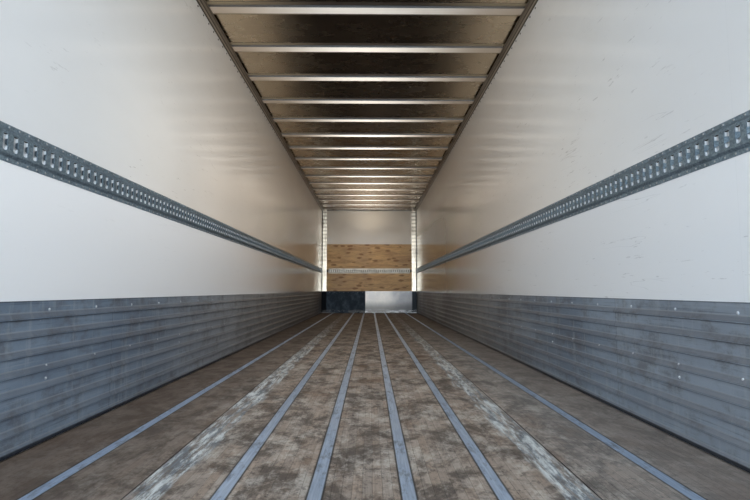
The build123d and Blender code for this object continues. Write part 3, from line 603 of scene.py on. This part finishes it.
def kick_steel():
    """Two sheets round the nose's foot: dark paint on the left, bare zinc scuffed white on the right, with
    painted highlights on the zinc and painted shade towards its right end and low down.
    """
    mat = Material("kick_steel")
    right = mat.step(mat.x, KICK_JOINT, KICK_JOINT + 0.004)
    front = mat.step(mat.y, KICK_IN - 0.004, KICK_IN - 0.001)
    cloud = mat.noise(5, 5, 4, 7, 0.7)
    broad = mat.noise(1.2, 1.2, 0.8, 3, shift=4)
    navy = mat.layer((50, 61, 72), (88, 100, 112), cloud, 0.4, 0.7)
    zinc = mat.layer((226, 213, 200), (180, 172, 168), cloud, 0.35, 0.65)
    # painted highlight in broad patches on the zinc
    zinc = mat.layer(zinc, (255, 243, 228), broad, 0.4, 0.6, 0.6)
    # painted shade on the zinc towards its right end and low down
    zinc = mat.layer(zinc, (126, 127, 132), mat.x, 0.30, 1.1, 0.65)
    low = mat.step(mat.z, FLOOR + 0.12, FLOOR + 0.36, 1, 0)
    zinc = mat.mix(low, zinc, (72, 72, 74), 0.66)
    color = mat.mix(right, navy, zinc)
    ends = mat.step(mat.math("ABSOLUTE", mat.x), 1.14, 1.17)
    color = mat.mix(mat.math("MAXIMUM", ends, mat.math("SUBTRACT", 1, front)), color, (20, 24, 30))
    scrape = mat.step(mat.noise(4, 8, 24, 7, 0.75, shift=6), 0.50, 0.56)
    band = mat.step(mat.z, FLOOR + 0.02, FLOOR + 0.11, 1, 0)
    amount = mat.times(scrape, band, mat.step(right, 0, 1, 0.3, 0.95))
    color = mat.mix(amount, color, (238, 236, 232))
    rough = mat.step(right, 0, 1, 0.7, 0.42)
    metallic = mat.step(right, 0, 1, 0, 0.5)
    gloss = mat.step(right, 0, 1, 0.15, 0.5)
    return mat.finish(color, rough, cloud, 0.0008, Metallic=metallic, Specular_IOR_Level=gloss)


# Painted and moulded pieces

SEAL_WIDTH = 0.014
GUARD_TAPE = (0.025, 0.026, 0.075, 0.076)


def enamel(name, shade, dirt=(90, 86, 80), amount=0.35, rough=0.35):
    """Painted steel with orange peel, grime and chips."""
    mat = Material(name)
    peel = mat.noise(220, detail=2)
    grime = mat.noise(2.2, 2.2, 2.2, 7, 0.7, shift=5)
    chips = mat.noise(30, detail=5, rough=0.75, shift=9)
    color = mat.layer(shade, dirt, grime, 0.48, 0.75, amount)
    color = mat.layer(color, dirt, chips, 0.7, 0.74, 0.7)
    roughness = mat.step(grime, 0.4, 0.7, rough, rough + 0.25)
    return mat.finish(color, roughness, peel, 0.0002)


def door_white():
    """Painted door panel with a black seal round its edge and light scuffs."""
    mat = Material("door_white")
    grime = mat.noise(1.2, 1.4, 1.8, 6, 0.65)
    color = mat.layer((236, 236, 233), (206, 203, 197), grime, 0.42, 0.75, 0.4)
    scuff = mat.noise(2, 3, 26, 4, 0.6, shift=4)
    color = mat.layer(color, (120, 116, 110), scuff, 0.70, 0.74, 0.4)
    limits = ((mat.y, DOOR_LOW.y), (mat.y, DOOR_HIGH.y), (mat.z, DOOR_LOW.z), (mat.z, DOOR_HIGH.z))
    edge = mat.math("MINIMUM", *[mat.away(place, limit) for place, limit in limits])
    seal = mat.step(edge, SEAL_WIDTH, SEAL_WIDTH + 0.001, 1, 0)
    color = mat.mix(seal, color, (26, 26, 27))
    rough = mat.step(seal, 0, 1, 0.22, 0.7)
    return mat.finish(color, rough, grime, 0.0006)


def guard_steel():
    """Painted rear guard with red and white tape along the back of its bar."""
    mat = Material("guard_steel")
    grime = mat.noise(3, 3, 3, 7, 0.7, shift=2)
    color = mat.layer((224, 224, 220), (128, 120, 108), grime, 0.45, 0.72, 0.5)
    level = mat.math("SUBTRACT", mat.z, GUARD_LOW)
    band = mat.band(level, *GUARD_TAPE)
    band = mat.times(band, mat.step(mat.y, TAIL + 0.001, TAIL + 0.002, 1, 0))
    run = mat.math("FLOORED_MODULO", mat.x, TAPE_LENGTH)
    tape = mat.layer((170, 26, 26), (222, 222, 218), run, RED_LENGTH, RED_LENGTH + 0.001)
    color = mat.mix(band, color, tape)
    return mat.finish(color, 0.4, grime, 0.0004)


def moulded(name, shade, rough=0.6):
    """Black rubber or plastic with a fine grain and dust."""
    mat = Material(name)
    grain = mat.noise(400, detail=3)
    dust = mat.noise(6, detail=6, rough=0.7, shift=3)
    color = mat.layer(shade, (110, 108, 104), dust, 0.5, 0.75, 0.4)
    return mat.finish(color, rough, grain, 0.0003)


def lens(name, shade):
    """A moulded lens with a ring pattern under a clear face."""
    mat = Material(name)
    prisms = mat.cells(420)
    color = mat.layer(shade, [value * 0.6 for value in shade], prisms, 0.2, 0.6)
    return mat.finish(color, 0.16, prisms, 0.0006, Coat_Weight=0.6)


def bare_steel():
    """Machined steel with smeared grease."""
    mat = Material("bare_steel")
    turn = mat.noise(30, 30, 300)
    grease = mat.noise(14, detail=6, rough=0.7, shift=2)
    color = mat.layer((150, 150, 150), (60, 54, 46), grease, 0.42, 0.64)
    return mat.finish(color, 0.4, turn, 0.0003, Metallic=0.85)


WHITE = wall_white()
# painted lines on the top rails' underside: painted shade in the corner at the wall, a painted highlight,
# and painted shade bands further in
TOP_RAIL = rail_aluminium("top_rail_aluminium", (146, 134, 118), edges=(
    (WALL_IN - 0.002, 0.007, (40, 34, 28)),
    (WALL_IN - 0.020, 0.005, (196, 184, 168)),
    (WALL_IN - 0.032, 0.005, (84, 74, 64)),
    (WALL_IN - 0.058, 0.005, (92, 80, 68)),
))
# painted shade in the corner of the nose's bright trims
BRIGHT_EDGES = ((WALL_IN - 0.006, 0.012, (70, 64, 58)),)
RUB_RAIL = rail_aluminium("rub_rail", taped=True)
# the lashing rails' zinc is made 1.12 times brighter as painted light
RAIL_ZINC = galvanised_steel("rail_zinc", 1.12, painted_light_back=True)
DOOR_WHITE = door_white()
RUBBER = moulded("black_rubber", (26, 26, 27), 0.75)
RED_LENS = lens("red_lens", (168, 16, 18))
AMBER_LENS = lens("amber_lens", (226, 128, 20))
RIVET = rail_aluminium("rivet_heads", (236, 240, 246), metallic=0.3)
DARK_RIVET = rail_aluminium("dark_rivet_heads", (74, 66, 58))
SKIN_RIVET = rail_aluminium("skin_rivet_heads", (198, 200, 202), metallic=0.6)

SLOT_MATERIAL = {
    "oak": board_wood(),
    "plywood": plywood(),
    "worn_steel": strip_steel(),
    "bare_steel": bare_steel(),
    "black_steel": enamel("black_coating", (34, 34, 36), dirt=(92, 84, 74), amount=0.5, rough=0.5),
    "navy_steel": kick_steel(),
    "white_steel": enamel("white_enamel", (226, 226, 222)),
    "white_panel": WHITE,
    "white_door": WHITE,
    "mill_aluminium": rail_aluminium(),
    "bright_aluminium": rail_aluminium("bright_aluminium", (240, 220, 194), edges=BRIGHT_EDGES, beads=True),
    "liner_aluminium": liner_aluminium(),
    "roof_aluminium": roof_aluminium(),
    "galvanised": galvanised_steel(),
    "rubber": RUBBER,
    "red_lens": RED_LENS,
    "amber_lens": AMBER_LENS,
    "black_plastic": moulded("black_plastic", (30, 30, 32), 0.5),
}
NODE_MATERIAL = {
    "roof_bows": bow_steel(),
    "top_rail_left": TOP_RAIL,
    "top_rail_right": TOP_RAIL,
    "front_header": TOP_RAIL,
    "lashing_rail_front": cream_zinc(),
    "bottom_rail_left": RUB_RAIL,
    "bottom_rail_right": RUB_RAIL,
    "rear_guard": guard_steel(),
    "door_panel_left": DOOR_WHITE,
    "door_panel_right": DOOR_WHITE,
}


def dress(obj, material):
    """Gives a whole object one material."""
    obj.data.materials.clear()
    obj.data.materials.append(material)


for part in frame["record"]["subparts"]:
    dress(nodes[part["node"]], NODE_MATERIAL.get(part["node"], SLOT_MATERIAL[part["material_slot"]]))


# Pieces made here, finer than the solids they replace or sit on

def spokes_round(axis, sides):
    """The axis at unit length, and unit spokes all round it."""
    axis = Vector(axis).normalized()
    across = axis.orthogonal().normalized()
    other = axis.cross(across)
    turns = [2 * math.pi * n / sides for n in range(sides)]
    return axis, [across * math.cos(turn) + other * math.sin(turn) for turn in turns]


class Shape:
    """A mesh in the making, whose points are shared where they meet."""

    def __init__(self):
        self.points = []
        self.faces = []
        self.known = {}

    def point(self, place):
        key = tuple(round(value, 6) for value in place)
        if key not in self.known:
            self.known[key] = len(self.points)
            self.points.append(key)
        return self.known[key]

    def face(self, *places):
        corners = []
        for place in places:
            corner = self.point(place)
            if corner not in corners:
                corners.append(corner)
        if len(corners) > 2:
            self.faces.append(corners)

    def rings(self, rings, close_ends=True):
        """A skin over rings of points, with each end filled."""
        for ring, above in zip(rings, rings[1:]):
            for n in range(len(ring)):
                after = (n + 1) % len(ring)
                self.face(ring[n], ring[after], above[after], above[n])
        if close_ends:
            self.face(*reversed(rings[0]))
            self.face(*rings[-1])

    def stud(self, place, axis, radius, height, sides=6, sunk=0.0006):
        """A low domed head that stands on a surface."""
        axis, spokes = spokes_round(axis, sides)
        self.rings([
            [Vector(place) + axis * level + spoke * radius * share for spoke in spokes]
            for level, share in ((-sunk, 1.0), (height * 0.45, 0.92), (height, 0.5))
        ])

    def lathe(self, place, axis, outline, sides=24, closed=False):
        """Turns an outline of (radius, level) round an axis that stands on a surface."""
        axis, spokes = spokes_round(axis, sides)
        rings = [
            [Vector(place) + axis * level + spoke * radius for spoke in spokes]
            for radius, level in outline
        ]
        if closed:
            rings.append(rings[0])
        self.rings(rings, close_ends=not closed)

    def build(self, name, material, body="van_body"):
        """Makes the object, dressed and riding on its body."""
        mesh = bpy.data.meshes.new(name)
        mesh.from_pydata(self.points, [], self.faces)
        work = bmesh.new()
        work.from_mesh(mesh)
        bmesh.ops.recalc_face_normals(work, faces=work.faces)
        work.to_mesh(mesh)
        work.free()
        obj = bpy.data.objects.new(name, mesh)
        bpy.context.scene.collection.objects.link(obj)
        dress(obj, material)
        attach(obj, body)
        return obj


# Lashing rails with their slots
SLOT_PITCH = 0.0508
RAIL_HALF = (RAIL_HIGH.z - RAIL_LOW.z) / 2
RAIL_DEPTH = 0.012
RAIL_GAUGE = 0.0027
RAIL_FOOT = 0.017
RAIL_DRAFT = 0.011
RAIL_CAP = RAIL_HALF - RAIL_FOOT - RAIL_DRAFT
RAIL_CAP_BACK = RAIL_CAP - RAIL_GAUGE / 2
RAIL_FOOT_BACK = RAIL_HALF - RAIL_FOOT - RAIL_GAUGE / 2
RAIL_HEAD = (0.0043, 0.0024)
SLOT_HALF = 0.0115
SLOT_ROWS = (
    (-0.0305, 0.35),
    (-0.0285, 0.75),
    (-0.0245, 1.0),
    (0.0305, 1.0),
)
TAB_HALF_ROOT = 0.013125
TAB_HALF_TIP = 0.0084
TAB_REACH = {-1: 0.0065, 1: 0.0165}
TAB_DROP = {-1: 0.0035, 1: 0.0066}
TAB_GAUGE = 0.0014
LIP_LOW = 0.0135
LIP_HIGH = 0.0285
LIP_OFF_WALL = 0.0008


def slotted_rail(side):
    """One side's rail: a hat section with slots, each with a tab bent in across it between two lips."""
    shape = Shape()
    length = TRIM_BACK - FRAME_FRONT
    count = int(length // SLOT_PITCH)
    margin = (length - count * SLOT_PITCH) / 2
    cap_back = RAIL_DEPTH - RAIL_GAUGE

    def places(*corners):
        """Corners at so far along the rail, above its middle and off the wall."""
        return [(side * (WALL_IN - w), TRIM_BACK - u, RAIL_LEVEL + v) for u, v, w in corners]

    upper = [
        (RAIL_CAP, RAIL_DEPTH),
        (RAIL_HALF - RAIL_FOOT, RAIL_GAUGE),
        (RAIL_HALF, RAIL_GAUGE),
        (RAIL_HALF, 0),
        (RAIL_FOOT_BACK, 0),
        (RAIL_CAP_BACK, cap_back),
    ]
    starts = [0] + [margin + n * SLOT_PITCH for n in range(count)] + [length - margin]
    ends = starts[1:] + [length]
    for number, (start, end) in enumerate(zip(starts, ends)):
        for way in (1, -1):
            for (v0, w0), (v1, w1) in zip(upper, upper[1:]):
                shape.face(*places((start, way * v0, w0), (start, way * v1, w1),
                                   (end, way * v1, w1), (end, way * v0, w0)))
        slotted = 0 < number <= count
        middle = (start + end) / 2
        for edge, w in ((RAIL_CAP, RAIL_DEPTH), (RAIL_CAP_BACK, cap_back)):
            if not slotted:
                shape.face(*places((start, -edge, w), (end, -edge, w), (end, edge, w), (start, edge, w)))
                continue
            rows = [(-edge, 0)] + [(v, share * SLOT_HALF) for v, share in SLOT_ROWS] + [(edge, 0)]
            for (v0, half0), (v1, half1) in zip(rows, rows[1:]):
                for border, way in ((start, -1), (end, 1)):
                    shape.face(*places((border, v0, w), (middle + way * half0, v0, w),
                                       (middle + way * half1, v1, w), (border, v1, w)))
            for limit, (v, half) in ((-edge, rows[1]), (edge, rows[-2])):
                shape.face(*places((middle, limit, w), (middle - half, v, w), (middle + half, v, w)))
        if not slotted:
            continue
        outline = [(middle - share * SLOT_HALF, v) for v, share in SLOT_ROWS]
        outline += [(middle + share * SLOT_HALF, v) for v, share in reversed(SLOT_ROWS)]
        for (u0, v0), (u1, v1) in zip(outline, outline[1:] + outline[:1]):
            shape.face(*places((u0, v0, cap_back), (u1, v1, cap_back),
                               (u1, v1, RAIL_DEPTH), (u0, v0, RAIL_DEPTH)))
        root = middle - SLOT_HALF
        root_out = cap_back + RAIL_GAUGE / 2
        tip = root + TAB_REACH[side]
        tip_out = cap_back - TAB_DROP[side]
        shape.rings([
            places((root, wide, root_out), (tip, narrow, tip_out),
                   (tip - TAB_GAUGE, narrow, tip_out), (root - TAB_GAUGE, wide, root_out))
            for wide, narrow in ((-TAB_HALF_ROOT, -TAB_HALF_TIP), (TAB_HALF_ROOT, TAB_HALF_TIP))
        ])
        for way in (1, -1):
            shape.rings([
                places((root, way * v, LIP_OFF_WALL), (root, way * v, root_out),
                       (root - TAB_GAUGE, way * v, root_out), (root - TAB_GAUGE, way * v, LIP_OFF_WALL))
                for v in (LIP_LOW, LIP_HIGH)
            ])
    for end in (0, length):
        for way in (1, -1):
            shape.face(*places(*[(end, way * v, w) for v, w in upper]))
        shape.face(*places((end, RAIL_CAP, RAIL_DEPTH), (end, RAIL_CAP_BACK, cap_back),
                           (end, -RAIL_CAP_BACK, cap_back), (end, -RAIL_CAP, RAIL_DEPTH)))
    name = "right" if side > 0 else "left"
    rail = shape.build(f"slotted_rail_{name}", RAIL_ZINC)
    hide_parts(f"lashing_rail_{name}")

    heads = Shape()
    for number in range(count + 1):
        y = TRIM_BACK - margin - number * SLOT_PITCH
        for way in (1, -1):
            level = RAIL_LEVEL + way * (RAIL_HALF - RAIL_FOOT / 2)
            heads.stud((side * (WALL_IN - RAIL_GAUGE), y, level), (-side, 0, 0), *RAIL_HEAD)
    heads.build(f"rail_rivets_{name}", SKIN_RIVET)


for side in (-1, 1):
    slotted_rail(side)


# Rivets inside: along the tops of the walls, on the liners, down the nose's corners and on the kick plate.
# A head is its radius and height, and a row on the liners its drop from their top and its pitch.
WALL_TOP_START = 0.06
WALL_TOP_PITCH = 0.122
WALL_TOP_DROP = 0.022
WALL_TOP_HEAD = (0.0085, 0.0045)
LINER_START = 0.12
LINER_ROWS = ((0.036, 0.339), (0.259, 0.339), (0.310, 1.356), (0.480, 0.678))
LINER_SLIP = 0.004
LINER_GROOVE = 0.005
LINER_HEAD = (0.0066, 0.0032)
TRIM_ROWS = (0.022, 0.104)
TRIM_TURN = 0.006
TRIM_CLEARANCE = 0.03
TRIM_HEAD = (0.0062, 0.0032)
KICK_COUNT = 18
KICK_SPAN = 2.12
KICK_LEVELS = (FLOOR + 0.05, KICK_TOP - 0.03)
KICK_HEAD = (0.006, 0.003)


def inside_rivets():
    dark = Shape()
    bright = Shape()
    length = TRIM_BACK - FRAME_FRONT
    for side in (-1, 1):
        inwards = (-side, 0, 0)
        for number in range(int(length / WALL_TOP_PITCH)):
            y = TRIM_BACK - WALL_TOP_START - number * WALL_TOP_PITCH
            dark.stud((side * WALL_IN, y, CEILING - WALL_TOP_DROP), inwards, *WALL_TOP_HEAD)
        for drop, pitch in LINER_ROWS:
            for number in range(int(length / pitch)):
                y = TRIM_BACK - LINER_START - number * pitch + rng.uniform(-LINER_SLIP, LINER_SLIP)
                bright.stud((side * (WALL_IN - LINER_GROOVE), y, LINER_TOP - drop), inwards, *LINER_HEAD)
        for number in range(1 + int((CEILING - TRIM_CLEARANCE - TRIM_RIVETS_LOW) / TRIM_PITCH)):
            level = TRIM_RIVETS_LOW + number * TRIM_PITCH
            for reach in TRIM_ROWS:
                bright.stud((side * (WALL_IN - reach), TRIM_IN, level), (0, -1, 0), *TRIM_HEAD)
                place = (side * (WALL_IN - PLATE_GAUGE), TRIM_IN - reach + TRIM_TURN, level)
                bright.stud(place, inwards, *TRIM_HEAD)
    for number in range(KICK_COUNT):
        x = number * KICK_SPAN / (KICK_COUNT - 1) - KICK_SPAN / 2
        for level in KICK_LEVELS:
            bright.stud((x, KICK_IN, level), (0, -1, 0), *KICK_HEAD)
    dark.build("wall_top_rivets", DARK_RIVET)
    bright.build("liner_rivets", RIVET)


inside_rivets()

# Outside: rivets round the plates
SKIN_PITCH = 0.1016
SKIN_HEAD = (0.0062, 0.0028)
SKIN_ROW_END = 0.05
SKIN_FOOT = BOTTOM_RAIL_TOP + 0.04
SKIN_HEIGHT = ROOF_TOP - 0.16
SIDE_ROWS = (ROOF_TOP - 0.040, BOTTOM_RAIL_TOP - 0.054)
NOSE_ROWS = (ROOF_TOP - 0.104, BOTTOM_RAIL_TOP - 0.014)
NOSE_ROW_HALF = 1.12
PLATE_LAP = 0.022
CORNER_ROW = 0.018
NOSE_CORNER_ROW = 0.115

# Lamps on the frame: a lens is a shallow dome in a rubber ring
LAMP = (0.032, 0.014)
TAIL_LAMP = (0.054, 0.012)
DOOR_GAP = 0.006
ROOF_GAUGE = 0.0012
HEADER_LAMPS = (-1.18, -0.2, 0, 0.2, 1.18)
HEADER_LAMP_LEVEL = (DOOR_HIGH.z + DOOR_GAP + ROOF_TOP - ROOF_GAUGE) / 2
TAIL_LAMPS = (0.87, 1.01)
TAIL_LAMP_LEVEL = -0.025
SIDE_LAMP_LEVEL = 0.03
RED_SIDE_LAMPS = (FRAME_FRONT + 0.2,)
AMBER_SIDE_LAMPS = (RAIL_FRONT - 0.2, (NOSE + TAIL) / 2)
FRONT_LAMP_RIGHT = 1.107
FRONT_LAMP_LEVEL = ROOF_TOP - 0.0612
DOME_INSET = 0.955
DOME = ((1, -0.001), (1, 0), (0.8, 0.0009), (0.45, 0.0016), (0.12, 0.0018))
RING_INSET = 0.95
RING = ((0.004, 0.008), (0.008, 0.004), (0.008, 0.0))
RING_LIP = 0.007


def levels_between(low, high, pitch):
    """Evenly spaced places from low to high, as near the pitch as whole steps allow."""
    steps = max(1, round((high - low) / pitch))
    return [low + (high - low) * n / steps for n in range(steps + 1)]


def outside_rivets():
    heads = Shape()
    upright = levels_between(SKIN_FOOT, SKIN_HEIGHT, SKIN_PITCH)
    for side in (-1, 1):
        out = (side, 0, 0)
        for y in levels_between(FRAME_FRONT + SKIN_ROW_END, RAIL_FRONT - SKIN_ROW_END, SKIN_PITCH):
            for level in SIDE_ROWS:
                heads.stud((side * RAIL_FACE, y, level), out, *SKIN_HEAD)
        for number in range(1, int((RAIL_FRONT - DOOR_HIGH.y) / PLATE_PITCH) + 1):
            for gap in (-PLATE_LAP, PLATE_LAP):
                y = RAIL_FRONT - number * PLATE_PITCH + gap
                for level in upright:
                    heads.stud((side * WALL_OUT, y, level), out, *SKIN_HEAD)
        for level in upright:
            heads.stud((side * RAIL_FACE, CORNER_BACK + CORNER_ROW, level), out, *SKIN_HEAD)
            heads.stud((side * (RAIL_FACE - NOSE_CORNER_ROW), NOSE, level), (0, 1, 0), *SKIN_HEAD)
    for x in levels_between(-NOSE_ROW_HALF, NOSE_ROW_HALF, SKIN_PITCH):
        for level in NOSE_ROWS:
            heads.stud((x, NOSE, level), (0, 1, 0), *SKIN_HEAD)
    heads.build("outside_rivets", SKIN_RIVET)


def lamp_lenses():
    """A shallow dome on each lamp's body, and the rubber ring that the lamp sits in."""
    red = [((x, TAIL, HEADER_LAMP_LEVEL), (0, -1, 0), *LAMP) for x in HEADER_LAMPS]
    amber = []
    for side in (-1, 1):
        red += [((side * x, TAIL, TAIL_LAMP_LEVEL), (0, -1, 0), *TAIL_LAMP) for x in TAIL_LAMPS]
    for lamps, places in ((red, RED_SIDE_LAMPS), (amber, AMBER_SIDE_LAMPS)):
        for side in (-1, 1):
            lamps += [((side * RAIL_FACE, y, SIDE_LAMP_LEVEL), (side, 0, 0), *LAMP) for y in places]
    amber += [((side * FRONT_LAMP_RIGHT, NOSE, FRONT_LAMP_LEVEL), (0, 1, 0), *LAMP) for side in (-1, 1)]
    rings = Shape()
    for name, lamps, material in (("red", red, RED_LENS), ("amber", amber, AMBER_LENS)):
        domes = Shape()
        for place, axis, radius, depth in lamps:
            flat = radius * DOME_INSET
            domes.lathe(place, axis, [(flat * share, depth + rise) for share, rise in DOME])
            foot = [(radius * RING_INSET, 0.0), (radius * RING_INSET, RING_LIP)]
            rings.lathe(place, axis, foot + [(radius + out, level) for out, level in RING], closed=True)
        domes.build(f"lamp_lenses_{name}", material)
    rings.build("lamp_rings", RUBBER)


outside_rivets()
lamp_lenses()

# Stage, light and camera. Skies are a colour and a strength, roof lamps a place along the body and a power.
GROUND_BELOW = 1.194
GROUND_REACH = 120
SOFT_SKY = (srgb(238, 244, 250), 0.62)
WHITE_SKY = ((0.98, 0.99, 1.0, 1.0), 1.0)
LIGHT_MIDDLE = (FLOOR + CEILING) / 2
DOORWAY_PLACE = (0, FRAME_FRONT + 0.4, LIGHT_MIDDLE + 0.1)
DOORWAY_AIM = (0, 1, -0.1)
DOORWAY_SIZE = (2.2, 2.3)
DOORWAY_SPREAD = math.radians(100)
DOORWAY_POWER = 72
DOORWAY_COLOR = (0.70, 0.85, 1.0)
FILL_POWERS = (5.2, 7.0, 9.4, 11.6, 13.4, 11.0, 7.2, 4.6, 2.8, 2.2, 3.0, 4.2, 5.2)
FILL_PLACES = (-0.22, -0.22, -0.24, -0.28, -0.40, -0.46, -0.46, -0.44, -0.38, -0.28, -0.2, -0.1, 0)
FILL_LIFT_NEAR = 0.08
FILL_LIFT_FAR = 0.26
FILL_NEAR = 1.2
FILL_FAR = 1.0
FILL_COLOR_NEAR = (0.80, 0.91, 1.0)
FILL_COLOR_FAR = (1.0, 0.88, 0.74)
FILL_WARMING = 1.6
FILL_RADIUS = 0.45
ROOF_LAMPS = ((-6.6, 10), (-4.0, 22), (-1.2, 28))
ROOF_LAMP_SIZE = (0.4, 3.4)
ROOF_LAMP_DROP = 0.96
ROOF_LAMP_SPREAD = math.radians(110)
ROOF_LAMP_COLOR = (1.0, 0.95, 0.88)
SUN_POWER = 1.5
SUN_WIDTH = math.radians(25)
SUN_TURN = (math.radians(-38), math.radians(34), 0)
CLIP_NEAR = 0.05
CLIP_FAR = 200


def make_floor():
    """A plain pale floor at the height of the ground under a coupled trailer."""
    mesh = bpy.data.meshes.new("stage_floor")
    corners = [(x * GROUND_REACH, y * GROUND_REACH, 0) for x, y in ((-1, -1), (1, -1), (1, 1), (-1, 1))]
    mesh.from_pydata(corners, [], [(0, 1, 2, 3)])
    obj = bpy.data.objects.new("stage_floor", mesh)
    obj.location.z = -GROUND_BELOW
    bpy.context.scene.collection.objects.link(obj)
    dress(obj, Material("stage_floor").finish((214, 214, 212), 0.8))


def make_world():
    """White for the camera and in gloss, plain soft light for everything else."""
    world = bpy.data.worlds.new("studio")
    world.use_nodes = True
    tree = world.node_tree
    tree.nodes.clear()
    path = tree.nodes.new("ShaderNodeLightPath")
    either = tree.nodes.new("ShaderNodeMath")
    either.operation = "MAXIMUM"
    tree.links.new(path.outputs["Is Camera Ray"], either.inputs[0])
    tree.links.new(path.outputs["Is Glossy Ray"], either.inputs[1])
    mixed = tree.nodes.new("ShaderNodeMixShader")
    tree.links.new(either.outputs[0], mixed.inputs[0])
    for number, (color, strength) in enumerate((SOFT_SKY, WHITE_SKY), 1):
        sky = tree.nodes.new("ShaderNodeBackground")
        sky.inputs["Color"].default_value = color
        sky.inputs["Strength"].default_value = strength
        tree.links.new(sky.outputs[0], mixed.inputs[number])
    output = tree.nodes.new("ShaderNodeOutputWorld")
    tree.links.new(mixed.outputs[0], output.inputs[0])
    bpy.context.scene.world = world


def make_lamp(name, kind, power):
    data = bpy.data.lights.new(name, kind)
    data.energy = power
    lamp = bpy.data.objects.new(name, data)
    bpy.context.scene.collection.objects.link(lamp)
    return lamp


def fill_lamp(name, place, power, color):
    """A soft round lamp that shows neither to the camera nor in gloss."""
    lamp = make_lamp(name, "POINT", power)
    lamp.data.shadow_soft_size = FILL_RADIUS
    lamp.data.color = color
    lamp.location = place
    lamp.visible_camera = False
    lamp.visible_glossy = False


def area_lamp(name, place, size, power, color, spread):
    """A soft rectangular lamp that the camera doesn't see."""
    lamp = make_lamp(name, "AREA", power)
    lamp.data.shape = "RECTANGLE"
    lamp.data.size, lamp.data.size_y = size
    lamp.data.spread = spread
    lamp.data.color = color
    lamp.location = place
    lamp.visible_camera = False
    return lamp


def make_lamps():
    """Daylight through the doorway, its reach along the body, a glow on the roof and a soft sun outside."""
    lamp = area_lamp("doorway_light", DOORWAY_PLACE, DOORWAY_SIZE, DOORWAY_POWER, DOORWAY_COLOR,
                     DOORWAY_SPREAD)
    lamp.rotation_mode = "QUATERNION"
    lamp.rotation_quaternion = Vector(DOORWAY_AIM).to_track_quat("-Z", "Y")
    for number, (power, right) in enumerate(zip(FILL_POWERS, FILL_PLACES)):
        depth = number / (len(FILL_POWERS) - 1)
        place = FRAME_FRONT + FILL_NEAR + depth * (NOSE_IN - FRAME_FRONT - FILL_NEAR - FILL_FAR)
        warmth = min(1, FILL_WARMING * depth)
        tint = [a + (b - a) * warmth for a, b in zip(FILL_COLOR_NEAR, FILL_COLOR_FAR)]
        lift = FILL_LIFT_NEAR + (FILL_LIFT_FAR - FILL_LIFT_NEAR) * depth
        fill_lamp(f"fill_light_{number}", (right, place, LIGHT_MIDDLE + lift), power, tint)
    for number, (place, power) in enumerate(ROOF_LAMPS):
        lamp = area_lamp(f"roof_light_{number}", (0, place, CEILING - ROOF_LAMP_DROP), ROOF_LAMP_SIZE,
                         power, ROOF_LAMP_COLOR, ROOF_LAMP_SPREAD)
        lamp.rotation_euler = (0, math.pi, 0)
        lamp.visible_glossy = False
    lamp = make_lamp("sun", "SUN", SUN_POWER)
    lamp.data.angle = SUN_WIDTH
    lamp.rotation_euler = SUN_TURN


def make_camera():
    """The photograph's camera, inside the rear doorway and low over the floor."""
    data = bpy.data.cameras.new("camera")
    data.sensor_width = SENSOR
    data.lens = FOCAL_PIXELS / PHOTO_WIDTH * SENSOR
    data.clip_start = CLIP_NEAR
    data.clip_end = CLIP_FAR
    camera = bpy.data.objects.new("camera", data)
    camera.location = (CAMERA_RIGHT, NOSE_IN - CAMERA_BEHIND_NOSE, FLOOR + CAMERA_ABOVE_FLOOR)
    camera.rotation_euler = (math.pi / 2 + PITCH, 0, -YAW)
    bpy.context.scene.collection.objects.link(camera)
    bpy.context.scene.camera = camera


make_floor()
make_world()
make_lamps()
make_camera()

scene = bpy.context.scene
scene.view_settings.view_transform = "Standard"
scene.cycles.max_bounces = 14
scene.cycles.diffuse_bounces = 8
scene.cycles.glossy_bounces = 6
